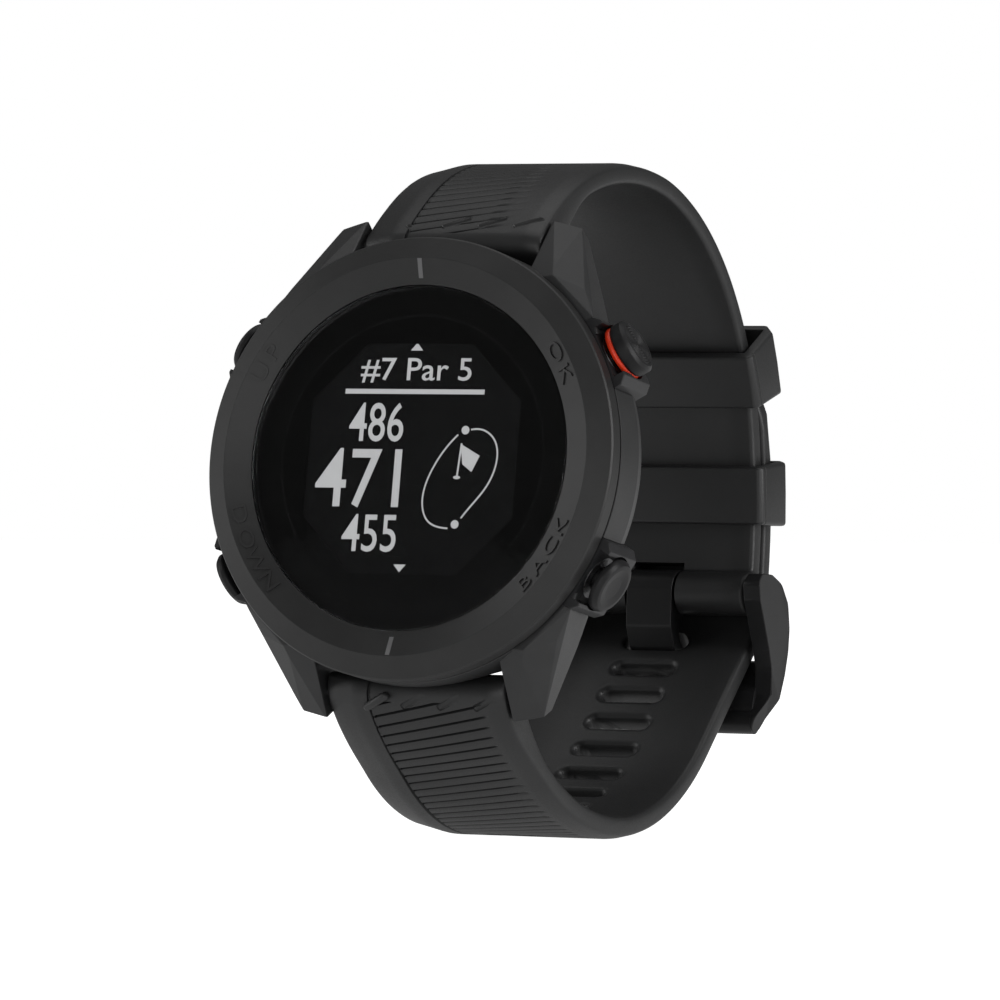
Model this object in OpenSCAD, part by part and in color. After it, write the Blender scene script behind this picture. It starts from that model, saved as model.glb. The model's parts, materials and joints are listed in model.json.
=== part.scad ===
// Golf GPS watch on a buckled silicone strap.
// Frame: +X to 3 o'clock, +Y from the dial into the wrist, +Z up. The origin is the centre of the
// case back where it meets the skin. The watch leans back as it stands, see dial_lean.
// Inside lean() the dial is upright: Z to 12 o'clock, and the case back is the plane Y = 0.
// Units: millimetres.

/* [Case] */
// Diameter of the round case
case_d = 43.7; // [43.3:0.1:44.1]
// Thickness from the crest of the bezel to the skin side
case_t = 11.5; // [11.4:0.1:11.8]
// Angle that the dial leans back from upright
dial_lean = 10; // [0:1:15]
// Diameter of the lens glass
lens_d = 34; // [33:0.1:34.2]
// Thickness of the lens glass
lens_t = 1.2; // [1:0.1:1.25]
// Height of the bezel crest above the lens
bezel_rise = 1; // [0.8:0.1:1.2]
// Distance between the two lugs of a pair
lug_gap = 20.2; // [20:0.1:20.4]
// Radius of the room for board and battery inside the case
cavity_r = 16.6; // [16.4:0.1:16.8]

/* [Display] */
// Width across the flats of the eight-sided display
display_w = 23.1; // [22:0.1:23.5]
// Thickness of the display module
display_t = 1.2; // [1:0.1:1.2]

/* [Buttons] */
// Angle of the button axes above and below the 3 to 9 o'clock line
button_angle = 29.5; // [28:0.5:31]
// Diameter of the button caps
cap_d = 5.6; // [5:0.1:5.8]
// Travel of a button
button_travel = 0.5; // [0.3:0.1:0.6]
// Distance of the start button's face from the case centre
ok_face_r = 24.6; // [24.4:0.1:24.8]
// Distance of the other buttons' faces from the case centre
cap_face_r = 24; // [23.9:0.1:24.2]
// Width of the raised guard around a button
guard_w = 7.6; // [7.2:0.1:7.8]

/* [Strap] */
// Width of the straps away from the lugs
strap_w = 21.2; // [20.6:0.1:21.4]
// Width of the straps between the lugs
strap_lug_w = 19.6; // [19.2:0.1:19.7]
// Thickness of the upper strap over the wrist
upper_strap_t = 2.1; // [2:0.1:2.3]
// Thickness of the upper strap behind the wrist
upper_back_t = 2.4; // [2.2:0.1:2.5]
// Thickness of the lower strap
lower_strap_t = 2.3; // [2:0.1:2.4]
// Distance between the two straps where they lie on each other
strap_space = 0.3; // [0.2:0.05:0.4]
// Number of adjustment slots in the lower strap
slot_count = 10; // [6:1:10]
// Distance from one adjustment slot to the next
slot_pitch = 4.1; // [4:0.05:4.4]
// Length of an adjustment slot across the strap
slot_l = 7; // [6.6:0.1:7.4]
// Width of an adjustment slot along the strap
slot_w = 2.4; // [2.4:0.1:2.6]

/* [Spring bars] */
// Distance of the spring bars above and below the case centre
bar_z = 22.2; // [22.1:0.1:22.4]
// Distance of the spring bars in front of the case back
bar_depth = 3.1; // [3:0.1:3.2]
// Diameter of the spring bar tubes
bar_tube_d = 1.8; // [1.7:0.1:1.8]
// Diameter of the spring bar pins
bar_pin_d = 0.8; // [0.7:0.1:0.9]
// Travel of the quick-release pins
release_travel = 1.3; // [1:0.1:1.4]

/* [Buckle and keepers] */
// Diameter of the buckle bar
buckle_bar_d = 1.8; // [1.6:0.1:1.9]
// Diameter of the strap's roll around the buckle bar
strap_roll_d = 4.6; // [4.4:0.1:4.7]
// Distance between the arms of the buckle
buckle_gap = 22.4; // [22.2:0.1:22.8]
// Width of the buckle
buckle_w = 26.2; // [26:0.1:26.6]
// Width of the buckle's tongue
tongue_w = 5.1; // [4.8:0.1:5.3]
// Width of a keeper along the strap
keeper_w = 6.3; // [6:0.1:6.5]
// Thickness of a keeper's band
keeper_t = 1.2; // [1:0.1:1.3]

/* [Hidden] */

$fn = 96;
fit = 0.05;                       // radial clearance of a pin or stem that turns or slides
part_gap = 0.1;                   // gap between pieces that are assembled with room
tiny = 0.01;

case_r = case_d / 2;
lens_r = lens_d / 2;
crest_y = -case_t;                // bezel crest
glass_y = crest_y + bezel_rise;   // outer face of the lens
bezel_low_y = glass_y + 2;        // lower edge of the bezel
seam = 0.2;                       // visible joint between the bezel and the case
rim_y = bezel_low_y + seam;       // front rim of the case body
shelf_y = glass_y + lens_t + 0.15;  // shelf that carries the lens gasket
shelf_r = 14.2;
locate_r = 20.2;                  // step that centres the bezel
display_y = shelf_y + 0.05;
board_y = display_y + display_t + 0.85;
board_t = 0.8;
cover_t = 1.7;
cover_r = 18.3;
screw_x = 13.2;
screw_z = 15;
screw_head_r = 1.1;
button_y = glass_y + 5;           // plane of the button axes
guard_face_r = 23.05;
guard_root_r = 20.6;
guard_open_w = 5.4;
sink_d = cap_d + 0.4;             // sinking around a cap
sink_r = 21.9;                    // floor of that sinking, from the case centre
stem_r = 1;
stem_end_r = 15.6;
cap_back_r = 23;                  // back face of a cap
bar_y = -bar_depth;
lug_x = lug_gap / 2;
strap_end_r = 2.1;                // the strap's roll around a spring bar
tube_half = 9.4;                  // half the length of a spring bar's tube
lever_x = 5.6;                    // place of a quick-release lever

// Centre lines of the strap, as [Y, Z] centres of the arcs that it lies on.
top_c = [18.79, 2.49];
top_in_r = 29.7;
back_in_r = 51;
back_c = [-1.5, -4];
low_c = [19, -3];
low_in_r = 28;
corner_r = 8;
tail_in_r = back_in_r + upper_back_t + strap_space;
roll_c = [back_c[0] + back_in_r + 0.2, back_c[1] - 0.3];
upper_bar = [bar_y, bar_z];
lower_bar = [bar_y, -bar_z];

function arm(a) = [cos(a), sin(a)];
function arc(c, r, a0, a1, n) = [for (i = [0:n]) c + r * arm(a0 + (a1 - a0) * i / n)];
function angle_of(v) = atan2(v[1], v[0]);
function ease(t) = let (k = min(1, max(0, t))) k * k * (3 - 2 * k);
function mix(a, b, t) = a + (b - a) * ease(t);
function slant_arc(c, r0, r1, a0, a1, n) =
    [for (i = [0:n]) c + mix(r0, r1, i / n) * arm(a0 + (a1 - a0) * i / n)];
function flip(points) = [for (i = [len(points) - 1:-1:0]) points[i]];

// Where the arcs meet
join_a = angle_of(top_c - back_c);              // top arc to back arc
upper_bar_a = angle_of(upper_bar - top_c);      // upper spring bar, seen from the top arc's centre
lower_bar_a = angle_of(lower_bar - low_c);
swell_a = 22;                                   // turn over which a strap thickens to its bar
corner_c = back_c + [tail_in_r - corner_r, 0];
line_a = angle_of(corner_c - low_c) - acos((low_in_r - corner_r) / norm(corner_c - low_c));
line_l = sqrt(pow(norm(corner_c - low_c), 2) - pow(low_in_r - corner_r, 2));
line_start = low_c + low_in_r * arm(line_a);
line_dir = arm(line_a + 90);
tail_a = 27;                                    // the tail ends inside the first keeper
tail_t = 2.2;
first_slot = line_l - 0.35;                     // the tongue's slot, measured along the line
far_bar = [51.1, -17.4];
far_bar_d = 2.6;

module lean() rotate([-dial_lean, 0, 0]) children();
// Spins a [radius, Y] profile about the dial's axis
module spun() rotate([-90, 0, 0]) rotate_extrude() children();
// Draws in the [Y, Z] plane and extrudes along X
module side() rotate([90, 0, 90]) children();
module rod(at, r, x0, x1) side() translate([at[0], at[1], x0]) cylinder(r = r, h = x1 - x0);
// Moves to a button's axis: local +z runs outwards, local x runs along the dial's axis
module at_button(a) translate([0, button_y, 0]) rotate([0, 90 - a, 0]) rotate([0, 0, 90]) children();
module each_button() for (a = button_angles) at_button(a) children();
module four_corners() for (sx = [-1, 1], sz = [-1, 1])
    translate([sx * screw_x, 0, sz * screw_z]) children();
module disc(r, y0, y1) rotate([-90, 0, 0]) translate([0, 0, y0]) cylinder(r = r, h = y1 - y0);
button_angles = [button_angle, -button_angle, 180 - button_angle, 180 + button_angle];

// ---- Case ----

module lug() {
    hull() polyhedron_points([
        [lug_x, rim_y, 12], [lug_x, rim_y, 18], [lug_x, -3.2, 24.75], [lug_x, -1.1, 23.4],
        [lug_x, -0.6, 19.8], [lug_x, -0.6, 12],
        [13, rim_y, 18.4], [12.65, -7.6, 19.39], [10.3, -3.34, 24.72],
        [18.3, rim_y, 12.6], [17.7, -8.2, 14.2], [16, -7.2, 17.2], [14.5, -5.2, 20.5],
        [13.1, -2.7, 24.1], [13.1, -1, 23.2], [13.7, -0.6, 19.8], [15.2, -0.8, 17],
        [16.4, -1.4, 14], [17.2, -3.4, 11]]);
}
module polyhedron_points(points) for (p = points) translate(p) cube(tiny, center = true);

module case_shell() {
    spun() polygon([[shelf_r, shelf_y], [locate_r, shelf_y], [locate_r, rim_y], [case_r, rim_y],
        [case_r, -4.3], [case_r - 0.5, -2.6], [case_r - 1.6, -0.6], [shelf_r, -0.6]]);
    for (mx = [0, 1], mz = [0, 1]) mirror([mx, 0, 0]) mirror([0, 0, mz]) lug();
}
module strap_room() {
    for (mz = [0, 1]) mirror([0, 0, mz]) {
        rod(upper_bar, strap_end_r + 0.45, -lug_x, lug_x);
        translate([-lug_x, bar_y, bar_z - strap_end_r - 0.45]) cube([lug_gap, 8, 8]);
    }
}
module case_body() color("#2e2f31") lean() difference() {
    case_shell();
    disc(cavity_r, shelf_y + 1.2, 1);
    disc(cover_r + part_gap, -cover_t - 0.05, 1);
    four_corners() disc(2.4 + part_gap, -cover_t - 0.05, 1);
    four_corners() disc(0.6, -6.7, 0);
    spun() translate([17.45, -cover_t - 0.55]) square([0.7, 0.7]);
    strap_room();
    for (z = [-bar_z, bar_z]) rod([bar_y, z], bar_pin_d / 2 + fit, -lug_x - 1.4, lug_x + 1.4);
    each_button() {
        translate([-3.15, -guard_w / 2 - fit, guard_root_r - fit])
            cube([6.3, guard_w + 2 * fit, 8]);
        cylinder(r = stem_r + fit, h = 24);
        translate([0, 0, 18.9]) cylinder(r = 1.65, h = 0.8);
    }
}

module bezel() color("#3a3b3d") lean() spun()
    polygon([[lens_r + fit, glass_y], [lens_r + 0.35, glass_y - 0.12], [case_r - 2.25, crest_y],
        [case_r - 0.15, glass_y + 0.1], [case_r, glass_y + 0.3], [case_r, bezel_low_y - 0.15],
        [case_r - 0.15, bezel_low_y], [locate_r + fit, bezel_low_y],
        [locate_r + fit, shelf_y - fit], [lens_r + fit, shelf_y - fit]]);

// Hour ticks at 12 and 6 o'clock, inlaid in the sloping ring of the bezel
module bezel_marks() color("#8c8d8f") lean() for (m = [0, 1]) mirror([0, 0, m])
    intersection() {
        translate([-0.23, crest_y - 1, lens_r + 0.65]) cube([0.46, 3, 1.85]);
        spun() polygon([[lens_r + 0.35, glass_y - 0.14], [case_r - 2.25, crest_y - 0.02],
            [case_r - 2.25, crest_y + 0.001], [lens_r + 0.35, glass_y - 0.119]]);
    }

module lens() color([0.05, 0.05, 0.06, 0.5]) lean() spun()
    polygon([[0, glass_y], [lens_r - 0.25, glass_y], [lens_r, glass_y + 0.2],
        [lens_r, glass_y + lens_t], [0, glass_y + lens_t]]);

module eight_sided(w, cut) polygon([[w / 2 - cut, w / 2], [w / 2, w / 2 - cut],
    [w / 2, cut - w / 2], [w / 2 - cut, -w / 2], [cut - w / 2, -w / 2], [-w / 2, cut - w / 2],
    [-w / 2, w / 2 - cut], [cut - w / 2, w / 2]]);
module display_plate(w, y0, t) translate([0, y0 + t, 0]) rotate([90, 0, 0])
    linear_extrude(t) eight_sided(w, 5.6);

// Black border printed on the back of the lens
module lens_border() color("#060607") lean() difference() {
    disc(shelf_r - 0.2, glass_y + lens_t, glass_y + lens_t + 0.05);
    display_plate(display_w - 0.4, glass_y + lens_t - 0.1, 0.4);
}
module lens_gasket() color("#151515") lean() spun()
    translate([shelf_r + 0.1, glass_y + lens_t]) square([lens_r - shelf_r - 0.4, shelf_y - glass_y - lens_t]);

module display_module() color("#101113") lean() display_plate(display_w, display_y, display_t);
module display_holder() color("#3b3d40") lean() difference() {
    union() {
        disc(shelf_r - 0.15, display_y + 0.05, display_y + display_t);
        disc(shelf_r + 1.2, display_y + display_t, display_y + display_t + 0.5);
    }
    display_plate(display_w + 0.1, display_y - 1, display_t + 1);
    disc(9, display_y, display_y + 5);
}

// ---- Inner parts ----

module main_board() color("#1d5c38") lean() difference() {
    disc(14.6, board_y, board_y + board_t);
    translate([-3, board_y - 1, 12.6]) cube([6, 4, 4]);
}
module gps_antenna() color("#c9b27a") lean() spun()
    translate([15.5, shelf_y + 1.25]) square([0.9, 0.65]);
module side_switches() color("#b8b8ba") lean() each_button() {
    translate([-(button_y - board_y - board_t), -2, 12.4])
        cube([2 * (button_y - board_y - board_t), 4, 1.7]);
    translate([0, 0, 14.1]) cylinder(r = 0.7, h = 0.9);
}
module battery() color("#7d8087") lean()
    translate([-9.5, board_y + board_t + 0.2, -7.5]) cube([19, -cover_t - 0.3 - board_y - board_t - 0.2, 15]);

// ---- Back cover ----

module back_cover() color("#232427") lean() difference() {
    union() {
        spun() polygon([[0, -cover_t], [cover_r, -cover_t], [cover_r, -0.5], [cover_r - 0.8, -0.1],
            [cover_r - 1.6, 0], [0, 0]]);
        four_corners() disc(2.4, -cover_t, -0.6);
    }
    four_corners() disc(0.75, -cover_t - 1, 1);
    four_corners() disc(screw_head_r + fit, -1.2, 1);
    translate([-4.2, -0.9, -15.2]) cube([8.4, 2, 3.6]);
    for (x = [-3:2:3]) translate([x, 0, -13.4]) disc(0.5, -cover_t - 1, 1);
}
module back_cover_seal() color("#4a1d1d") lean() spun()
    translate([17.8, -cover_t - 0.3]) circle(d = 0.5, $fn = 24);
module back_cover_screws() color("#9a9ca0") lean() four_corners() difference() {
    union() {
        disc(screw_head_r, -1.2, -0.65);
        disc(0.6, -5.8, -1.2);
    }
    disc(0.45, -0.95, 0);
}
module charging_contacts() color("#c8a24a") lean()
    for (x = [-3:2:3]) translate([x, 0, -13.4]) {
        disc(0.5, -cover_t - 0.3, -0.7);
    }

// ---- Buttons ----

module button(a, face_r) lean() at_button(a) {
    translate([0, 0, cap_back_r]) rotate_extrude()
        polygon([[0, 0], [cap_d / 2 - 0.2, 0], [cap_d / 2, 0.2], [cap_d / 2, face_r - cap_back_r - 0.35],
            [cap_d / 2 - 0.35, face_r - cap_back_r], [0, face_r - cap_back_r]]);
    difference() {
        translate([0, 0, stem_end_r]) cylinder(r = stem_r, h = cap_back_r - stem_end_r);
        translate([0, 0, 15.95]) difference() {
            cylinder(r = stem_r + 1, h = 0.35);
            translate([0, 0, -1]) cylinder(r = 0.7, h = 3);
        }
    }
}
module ok_button() color("#242527") button(button_angle, ok_face_r);
module back_button() color("#1d1e20") button(-button_angle, cap_face_r);
module up_button() color("#1d1e20") button(180 - button_angle, cap_face_r);
module down_button() color("#1d1e20") button(180 + button_angle, cap_face_r);

// Coloured ring on the start button's neck
module ok_button_ring() color("#e03a16") lean() at_button(button_angle)
    translate([0, 0, cap_back_r - 0.55]) difference() {
        cylinder(r = cap_d / 2 - 0.1, h = 0.55);
        translate([0, 0, -1]) cylinder(r = stem_r, h = 3);
    }

module clip(a) color("#b9bbbe") lean() at_button(a) translate([0, 0, 15.97]) difference() {
    cylinder(r = 1.6, h = 0.3);
    translate([0, 0, -1]) cylinder(r = 0.7, h = 3);
    translate([-0.5, 0, -1]) cube([1, 3, 3]);
}
module ok_button_clip() clip(button_angle);
module back_button_clip() clip(-button_angle);
module up_button_clip() clip(180 - button_angle);
module down_button_clip() clip(180 + button_angle);

// Raised guard around a button, set in a pocket of the case
module guard(a) color("#1a1b1c") lean() at_button(a) difference() {
    translate([0, 0, guard_root_r]) intersection() {
        translate([-2.9, -guard_w / 2, 0]) cube([6, guard_w, guard_face_r - guard_root_r]);
        rotate([0, 90, 0]) linear_extrude(8, center = true)
            polygon([[1, guard_w / 2 + 1], [1, -guard_w / 2 - 1], [-1.6, -guard_w / 2],
                [-2.45, -guard_w / 2 + 0.7], [-2.45, guard_w / 2 - 0.7], [-1.6, guard_w / 2]]);
    }
    translate([0, 0, sink_r]) cylinder(r = sink_d / 2, h = 4);
    // The wall towards the dial stands open, so that the cap shows down to its foot
    translate([-4, -guard_open_w / 2, sink_r]) cube([4, guard_open_w, 4]);
    cylinder(r = stem_r + fit, h = 30);
}
module ok_button_guard() guard(button_angle);
module back_button_guard() guard(-button_angle);
module up_button_guard() guard(180 - button_angle);
module down_button_guard() guard(180 + button_angle);

module button_seals() color("#101010") lean() each_button() translate([0, 0, 19.3])
    rotate_extrude() translate([stem_r + 0.32, 0]) circle(d = 0.6, $fn = 24);
// Spring washers under the buttons
module button_springs() color("#a8aaad") lean() each_button() translate([0, 0, sink_r])
    rotate_extrude() translate([stem_r + 0.3, 0]) square([0.9, 0.04]);

// ---- Straps ----

upper_outline = concat(
    arc(top_c, top_in_r + upper_strap_t, upper_bar_a, join_a + 30, 26),
    slant_arc(top_c, top_in_r + upper_strap_t, top_in_r + upper_back_t, join_a + 30, join_a, 8),
    arc(back_c, back_in_r + upper_back_t, join_a, 0, 8),
    [[roll_c[0], roll_c[1]]],
    flip(arc(back_c, back_in_r, join_a, 1, 8)),
    flip(arc(top_c, top_in_r, upper_bar_a - swell_a, join_a, 26)),
    flip(slant_arc(top_c, norm(upper_bar - top_c) - strap_end_r, top_in_r, upper_bar_a,
        upper_bar_a - swell_a, 8)));
lower_outline = concat(
    slant_arc(low_c, norm(lower_bar - low_c) + strap_end_r, low_in_r + lower_strap_t, lower_bar_a,
        lower_bar_a + swell_a, 8),
    arc(low_c, low_in_r + lower_strap_t, lower_bar_a + swell_a, line_a, 22),
    arc(corner_c, corner_r + lower_strap_t, line_a, -2, 8),
    arc(back_c, tail_in_r + tail_t, 0, join_a, 8),
    arc(top_c, tail_in_r + tail_t - back_in_r + top_in_r, join_a, tail_a - 1.5, 4),
    [top_c + (tail_in_r + 0.7 - back_in_r + top_in_r) * arm(tail_a)],
    flip(arc(top_c, tail_in_r - back_in_r + top_in_r, join_a, tail_a, 4)),
    flip(arc(back_c, tail_in_r, 0, join_a, 8)),
    flip(arc(corner_c, corner_r, line_a, -2, 8)),
    flip(arc(low_c, low_in_r, lower_bar_a + swell_a, line_a, 22)),
    flip(slant_arc(low_c, norm(lower_bar - low_c) - strap_end_r, low_in_r, lower_bar_a,
        lower_bar_a + swell_a, 8)));

// Plan of both straps: narrow between the lugs, full width behind them
module strap_plan() translate([0, 0, -60]) linear_extrude(120)
    polygon([[-strap_lug_w / 2, -12], [strap_lug_w / 2, -12], [strap_lug_w / 2, 0],
        [strap_w / 2, 22], [strap_w / 2, 70], [-strap_w / 2, 70], [-strap_w / 2, 22],
        [-strap_lug_w / 2, 0]]);
module strap_blank(outline, bar) intersection() {
    strap_plan();
    union() {
        side() linear_extrude(strap_w, center = true) polygon(outline);
        rod(bar, strap_end_r, -strap_w / 2, strap_w / 2);
    }
}
// Room in a strap for its spring bar and for the release lever on the wrist side
module bar_bore(bar) {
    rod(bar, bar_tube_d / 2 + fit, -15, 15);
    translate([lever_x - release_travel - 0.5, bar[0], bar[1] - 0.6])
        cube([release_travel + 1, 6, 1.2]);
}

module upper_strap() color("#2b2c2e") lean() difference() {
    union() {
        strap_blank(upper_outline, upper_bar);
        rod(roll_c, strap_roll_d / 2, -strap_w / 2, strap_w / 2);
    }
    rod(roll_c, buckle_bar_d / 2 + fit, -15, 15);
    side() translate([roll_c[0] - 4, roll_c[1] - 4, -tongue_w / 2 - 0.3])
        cube([8, 7.1, tongue_w + 0.6]);
    bar_bore(upper_bar);
}

function slot_place(k) = let (s = first_slot - k * slot_pitch)
    s >= 0 ? line_start + s * line_dir : low_c + low_in_r * arm(line_a + s / low_in_r * 180 / PI);
function slot_angle(k) = let (s = first_slot - k * slot_pitch)
    s >= 0 ? line_a : line_a + s / low_in_r * 180 / PI;
module slot(k, w) side() translate(slot_place(k)) rotate(slot_angle(k)) rotate([0, 90, 0])
    translate([0, 0, -2]) linear_extrude(7) union() {
        square([slot_l - w, w], center = true);
        for (s = [-1, 1]) translate([s * (slot_l - w) / 2, 0]) circle(d = w, $fn = 32);
    }
module lower_strap() color("#2b2c2e") lean() difference() {
    strap_blank(lower_outline, lower_bar);
    slot(0, slot_w + 0.6);
    for (k = [1:slot_count - 1]) slot(k, slot_w);
    bar_bore(lower_bar);
}

// ---- Spring bars ----

module bar_tube(bar) color("#9da0a4") lean() difference() {
    rod(bar, bar_tube_d / 2, -tube_half, tube_half);
    rod(bar, bar_pin_d / 2 + fit, -15, 15);
    translate([lever_x - release_travel - 0.5, bar[0], bar[1] - 0.35])
        cube([release_travel + 1, 3, 0.7]);
}
module fixed_pin(bar) color("#b4b6b9") lean() rod(bar, bar_pin_d / 2, -lug_x - 1, -tube_half + 3);
module release_pin(bar) color("#b4b6b9") lean() {
    rod(bar, bar_pin_d / 2, lever_x - 0.8, lug_x + 1);
    translate([lever_x - 0.25, bar[0], bar[1] - 0.25]) cube([0.5, strap_end_r + 0.5, 0.5]);
}
// Spring inside the tube, drawn as its wire turns
module bar_spring(bar) color("#8f9296") lean() for (i = [0:5]) side()
    translate([bar[0], bar[1], -5.6 + i * 1.2]) rotate_extrude()
        translate([bar_pin_d / 2 - 0.12, 0]) circle(d = 0.2, $fn = 16);
module upper_bar_tube() bar_tube(upper_bar);
module upper_bar_fixed_pin() fixed_pin(upper_bar);
module upper_bar_release_pin() release_pin(upper_bar);
module upper_bar_spring() bar_spring(upper_bar);
module lower_bar_tube() bar_tube(lower_bar);
module lower_bar_fixed_pin() fixed_pin(lower_bar);
module lower_bar_release_pin() release_pin(lower_bar);
module lower_bar_spring() bar_spring(lower_bar);

// ---- Buckle ----

web_x = 3.6;
web_outline = [[50.2, -16.6], [50.6, -14.2], [51.9, -12.6], [52.9, -11], [53.9, -10.6], [54, -12],
    [53.4, -14.5], [52.3, -16.6]];
arm_outline = [[46, -3.6], [47.2, -2.5], [49.9, -2.2], [52.1, -2.8], [53.7, -4.8], [54.5, -7.2],
    [54.6, -9.6], [54.2, -12], [53.4, -15], far_bar + 1.3 * arm(20), far_bar + 1.3 * arm(-35),
    far_bar + 1.3 * arm(-90), far_bar + 1.3 * arm(-150), far_bar + 1.3 * arm(165),
    [51, -15], [50.7, -12], [49.7, -10.1], [47.9, -7.4], [46.5, -5.4]];
module buckle_frame() color("#1e1f21") lean() difference() {
    union() {
        for (m = [0, 1]) mirror([m, 0, 0]) intersection() {
            side() translate([0, 0, buckle_gap / 2])
                linear_extrude((buckle_w - buckle_gap) / 2) polygon(arm_outline);
            translate([0, 100, 0]) rotate([90, 0, 0]) linear_extrude(100)
                polygon([[0, 0], [buckle_w / 2 - 0.8, 0], [buckle_w / 2, -4], [buckle_w / 2, -14.5],
                    [buckle_w / 2 - 1.8, -18.8], [0, -18.8]]);
        }
        rod(far_bar, far_bar_d / 2, -buckle_gap / 2 - tiny, buckle_gap / 2 + tiny);
        // Webs that close the corners between the arms and the far bar
        for (m = [0, 1]) mirror([m, 0, 0]) side() translate([0, 0, web_x])
            linear_extrude(buckle_gap / 2 - web_x + tiny) polygon(web_outline);
    }
    rod(roll_c, buckle_bar_d / 2, -buckle_w, buckle_w);
}
module buckle_bar() color("#a7a9ac") lean() rod(roll_c, buckle_bar_d / 2, -buckle_w / 2 + 0.8, buckle_w / 2 - 0.8);

module buckle_tongue() color("#1e1f21") lean() difference() {
    union() {
        rod(roll_c, strap_roll_d / 2 + 0.05, -tongue_w / 2, tongue_w / 2);
        side() linear_extrude(tongue_w, center = true) polygon([
            [roll_c[0] - strap_roll_d / 2 - 0.05, roll_c[1]], [47.8, -8.1], [49.1, -10.15],
            [51.7, -12.35], [52.4, -13.6], [52.55, -17.8], [53.2, -18.8], [53.9, -17.6],
            [53.9, -14], [53.5, -12.2], [52.4, -10.75], [49.85, -8.55],
            roll_c + strap_roll_d / 2 * arm(-55)]);
    }
    rod(roll_c, buckle_bar_d / 2 + fit, -15, 15);
}

// ---- Keepers ----

// A band around both straps, curved about the arc that it slides on. r is [inside, outside].
module keeper(c, r, a0, a1) color("#27282a") lean() side() translate(c) rotate(a0)
    rotate_extrude(angle = a1 - a0) difference() {
        polygon([[r[0] - keeper_t, -strap_w / 2 - 1.1], [r[0] - keeper_t + 0.5, -strap_w / 2 - 1.5],
            [r[1] - 0.5, -strap_w / 2 - 1.5], [r[1] + keeper_t, -strap_w / 2 - 0.3],
            [r[1] + keeper_t, strap_w / 2 + 0.3], [r[1] - 0.5, strap_w / 2 + 1.5],
            [r[0] - keeper_t + 0.5, strap_w / 2 + 1.5], [r[0] - keeper_t, strap_w / 2 + 1.1]]);
        translate([r[0], -strap_w / 2 - 0.3]) square([r[1] - r[0], strap_w + 0.6]);
    }
wrap_t = upper_back_t + strap_space + tail_t;
keeper_1_r = [top_in_r - strap_space, top_in_r + wrap_t + strap_space];
keeper_2_r = [back_in_r - strap_space, back_in_r + wrap_t + strap_space];
keeper_1_a = 24.5;
keeper_2_a = 7.7;
module keeper_1() keeper(top_c, keeper_1_r, keeper_1_a, keeper_1_a + keeper_w / (top_in_r + 2) * 180 / PI);
module keeper_2() keeper(back_c, keeper_2_r, keeper_2_a, keeper_2_a + keeper_w / (back_in_r + 2) * 180 / PI);

case_body();
bezel();
bezel_marks();
lens();
lens_border();
lens_gasket();
display_module();
display_holder();
main_board();
side_switches();
battery();
gps_antenna();
back_cover();
back_cover_seal();
back_cover_screws();
charging_contacts();
ok_button();
ok_button_ring();
back_button();
up_button();
down_button();
ok_button_clip();
back_button_clip();
up_button_clip();
down_button_clip();
ok_button_guard();
back_button_guard();
up_button_guard();
down_button_guard();
button_seals();
button_springs();
upper_strap();
lower_strap();
upper_bar_tube();
upper_bar_fixed_pin();
upper_bar_release_pin();
upper_bar_spring();
lower_bar_tube();
lower_bar_fixed_pin();
lower_bar_release_pin();
lower_bar_spring();
buckle_frame();
buckle_bar();
buckle_tongue();
keeper_1();
keeper_2();
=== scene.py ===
import json
import math

import bmesh
import bpy
from bpy.props import FloatProperty, FloatVectorProperty, PointerProperty, StringProperty
from mathutils import Matrix, Vector


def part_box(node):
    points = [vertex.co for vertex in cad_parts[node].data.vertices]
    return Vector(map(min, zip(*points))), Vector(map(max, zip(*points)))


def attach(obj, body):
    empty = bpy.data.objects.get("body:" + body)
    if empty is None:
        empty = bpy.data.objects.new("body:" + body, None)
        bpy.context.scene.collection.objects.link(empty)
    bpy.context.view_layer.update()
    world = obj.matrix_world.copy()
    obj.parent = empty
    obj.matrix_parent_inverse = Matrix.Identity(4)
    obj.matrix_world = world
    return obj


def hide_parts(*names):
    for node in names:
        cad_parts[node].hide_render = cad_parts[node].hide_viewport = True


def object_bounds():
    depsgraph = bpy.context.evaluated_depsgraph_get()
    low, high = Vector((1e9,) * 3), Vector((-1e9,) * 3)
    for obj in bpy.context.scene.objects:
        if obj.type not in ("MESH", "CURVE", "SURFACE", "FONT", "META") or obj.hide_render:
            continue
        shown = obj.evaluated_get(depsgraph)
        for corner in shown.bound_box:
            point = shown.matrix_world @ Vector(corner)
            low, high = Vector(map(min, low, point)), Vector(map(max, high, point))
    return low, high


bl_info = {
    "name": "Golf GPS Watch",
    "version": (1, 0, 0),
    "blender": (4, 5, 0),
    "location": "View3D > Sidebar > Watch",
    "description": "Builds the outer pieces, finishes and studio of a golf watch on its packed frame",
    "category": "Object",
}

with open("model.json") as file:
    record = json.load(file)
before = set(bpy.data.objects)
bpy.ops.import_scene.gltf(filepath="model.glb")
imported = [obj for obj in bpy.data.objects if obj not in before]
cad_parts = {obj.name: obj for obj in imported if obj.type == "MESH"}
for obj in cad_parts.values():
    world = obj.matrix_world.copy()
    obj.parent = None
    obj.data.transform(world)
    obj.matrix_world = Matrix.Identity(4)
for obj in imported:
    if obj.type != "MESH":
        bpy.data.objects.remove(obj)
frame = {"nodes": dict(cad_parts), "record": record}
CAD_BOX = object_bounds()

# The watch's own millimetres: X to 3 o'clock, Y from the dial into the wrist, Z to 12 o'clock,
# with the case back in the plane Y = 0. The dial leans back in the frame.
MM = 0.001
DIAL_LEAN = math.radians(10)
TO_FRAME = Matrix.Rotation(-DIAL_LEAN, 4, "X") @ Matrix.Scale(MM, 4)
# A turned piece is spun about its own z axis: this lays that axis along Y, pointing into the wrist
DIAL_AXIS = Matrix.Rotation(-math.pi / 2, 4, "X")
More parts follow.
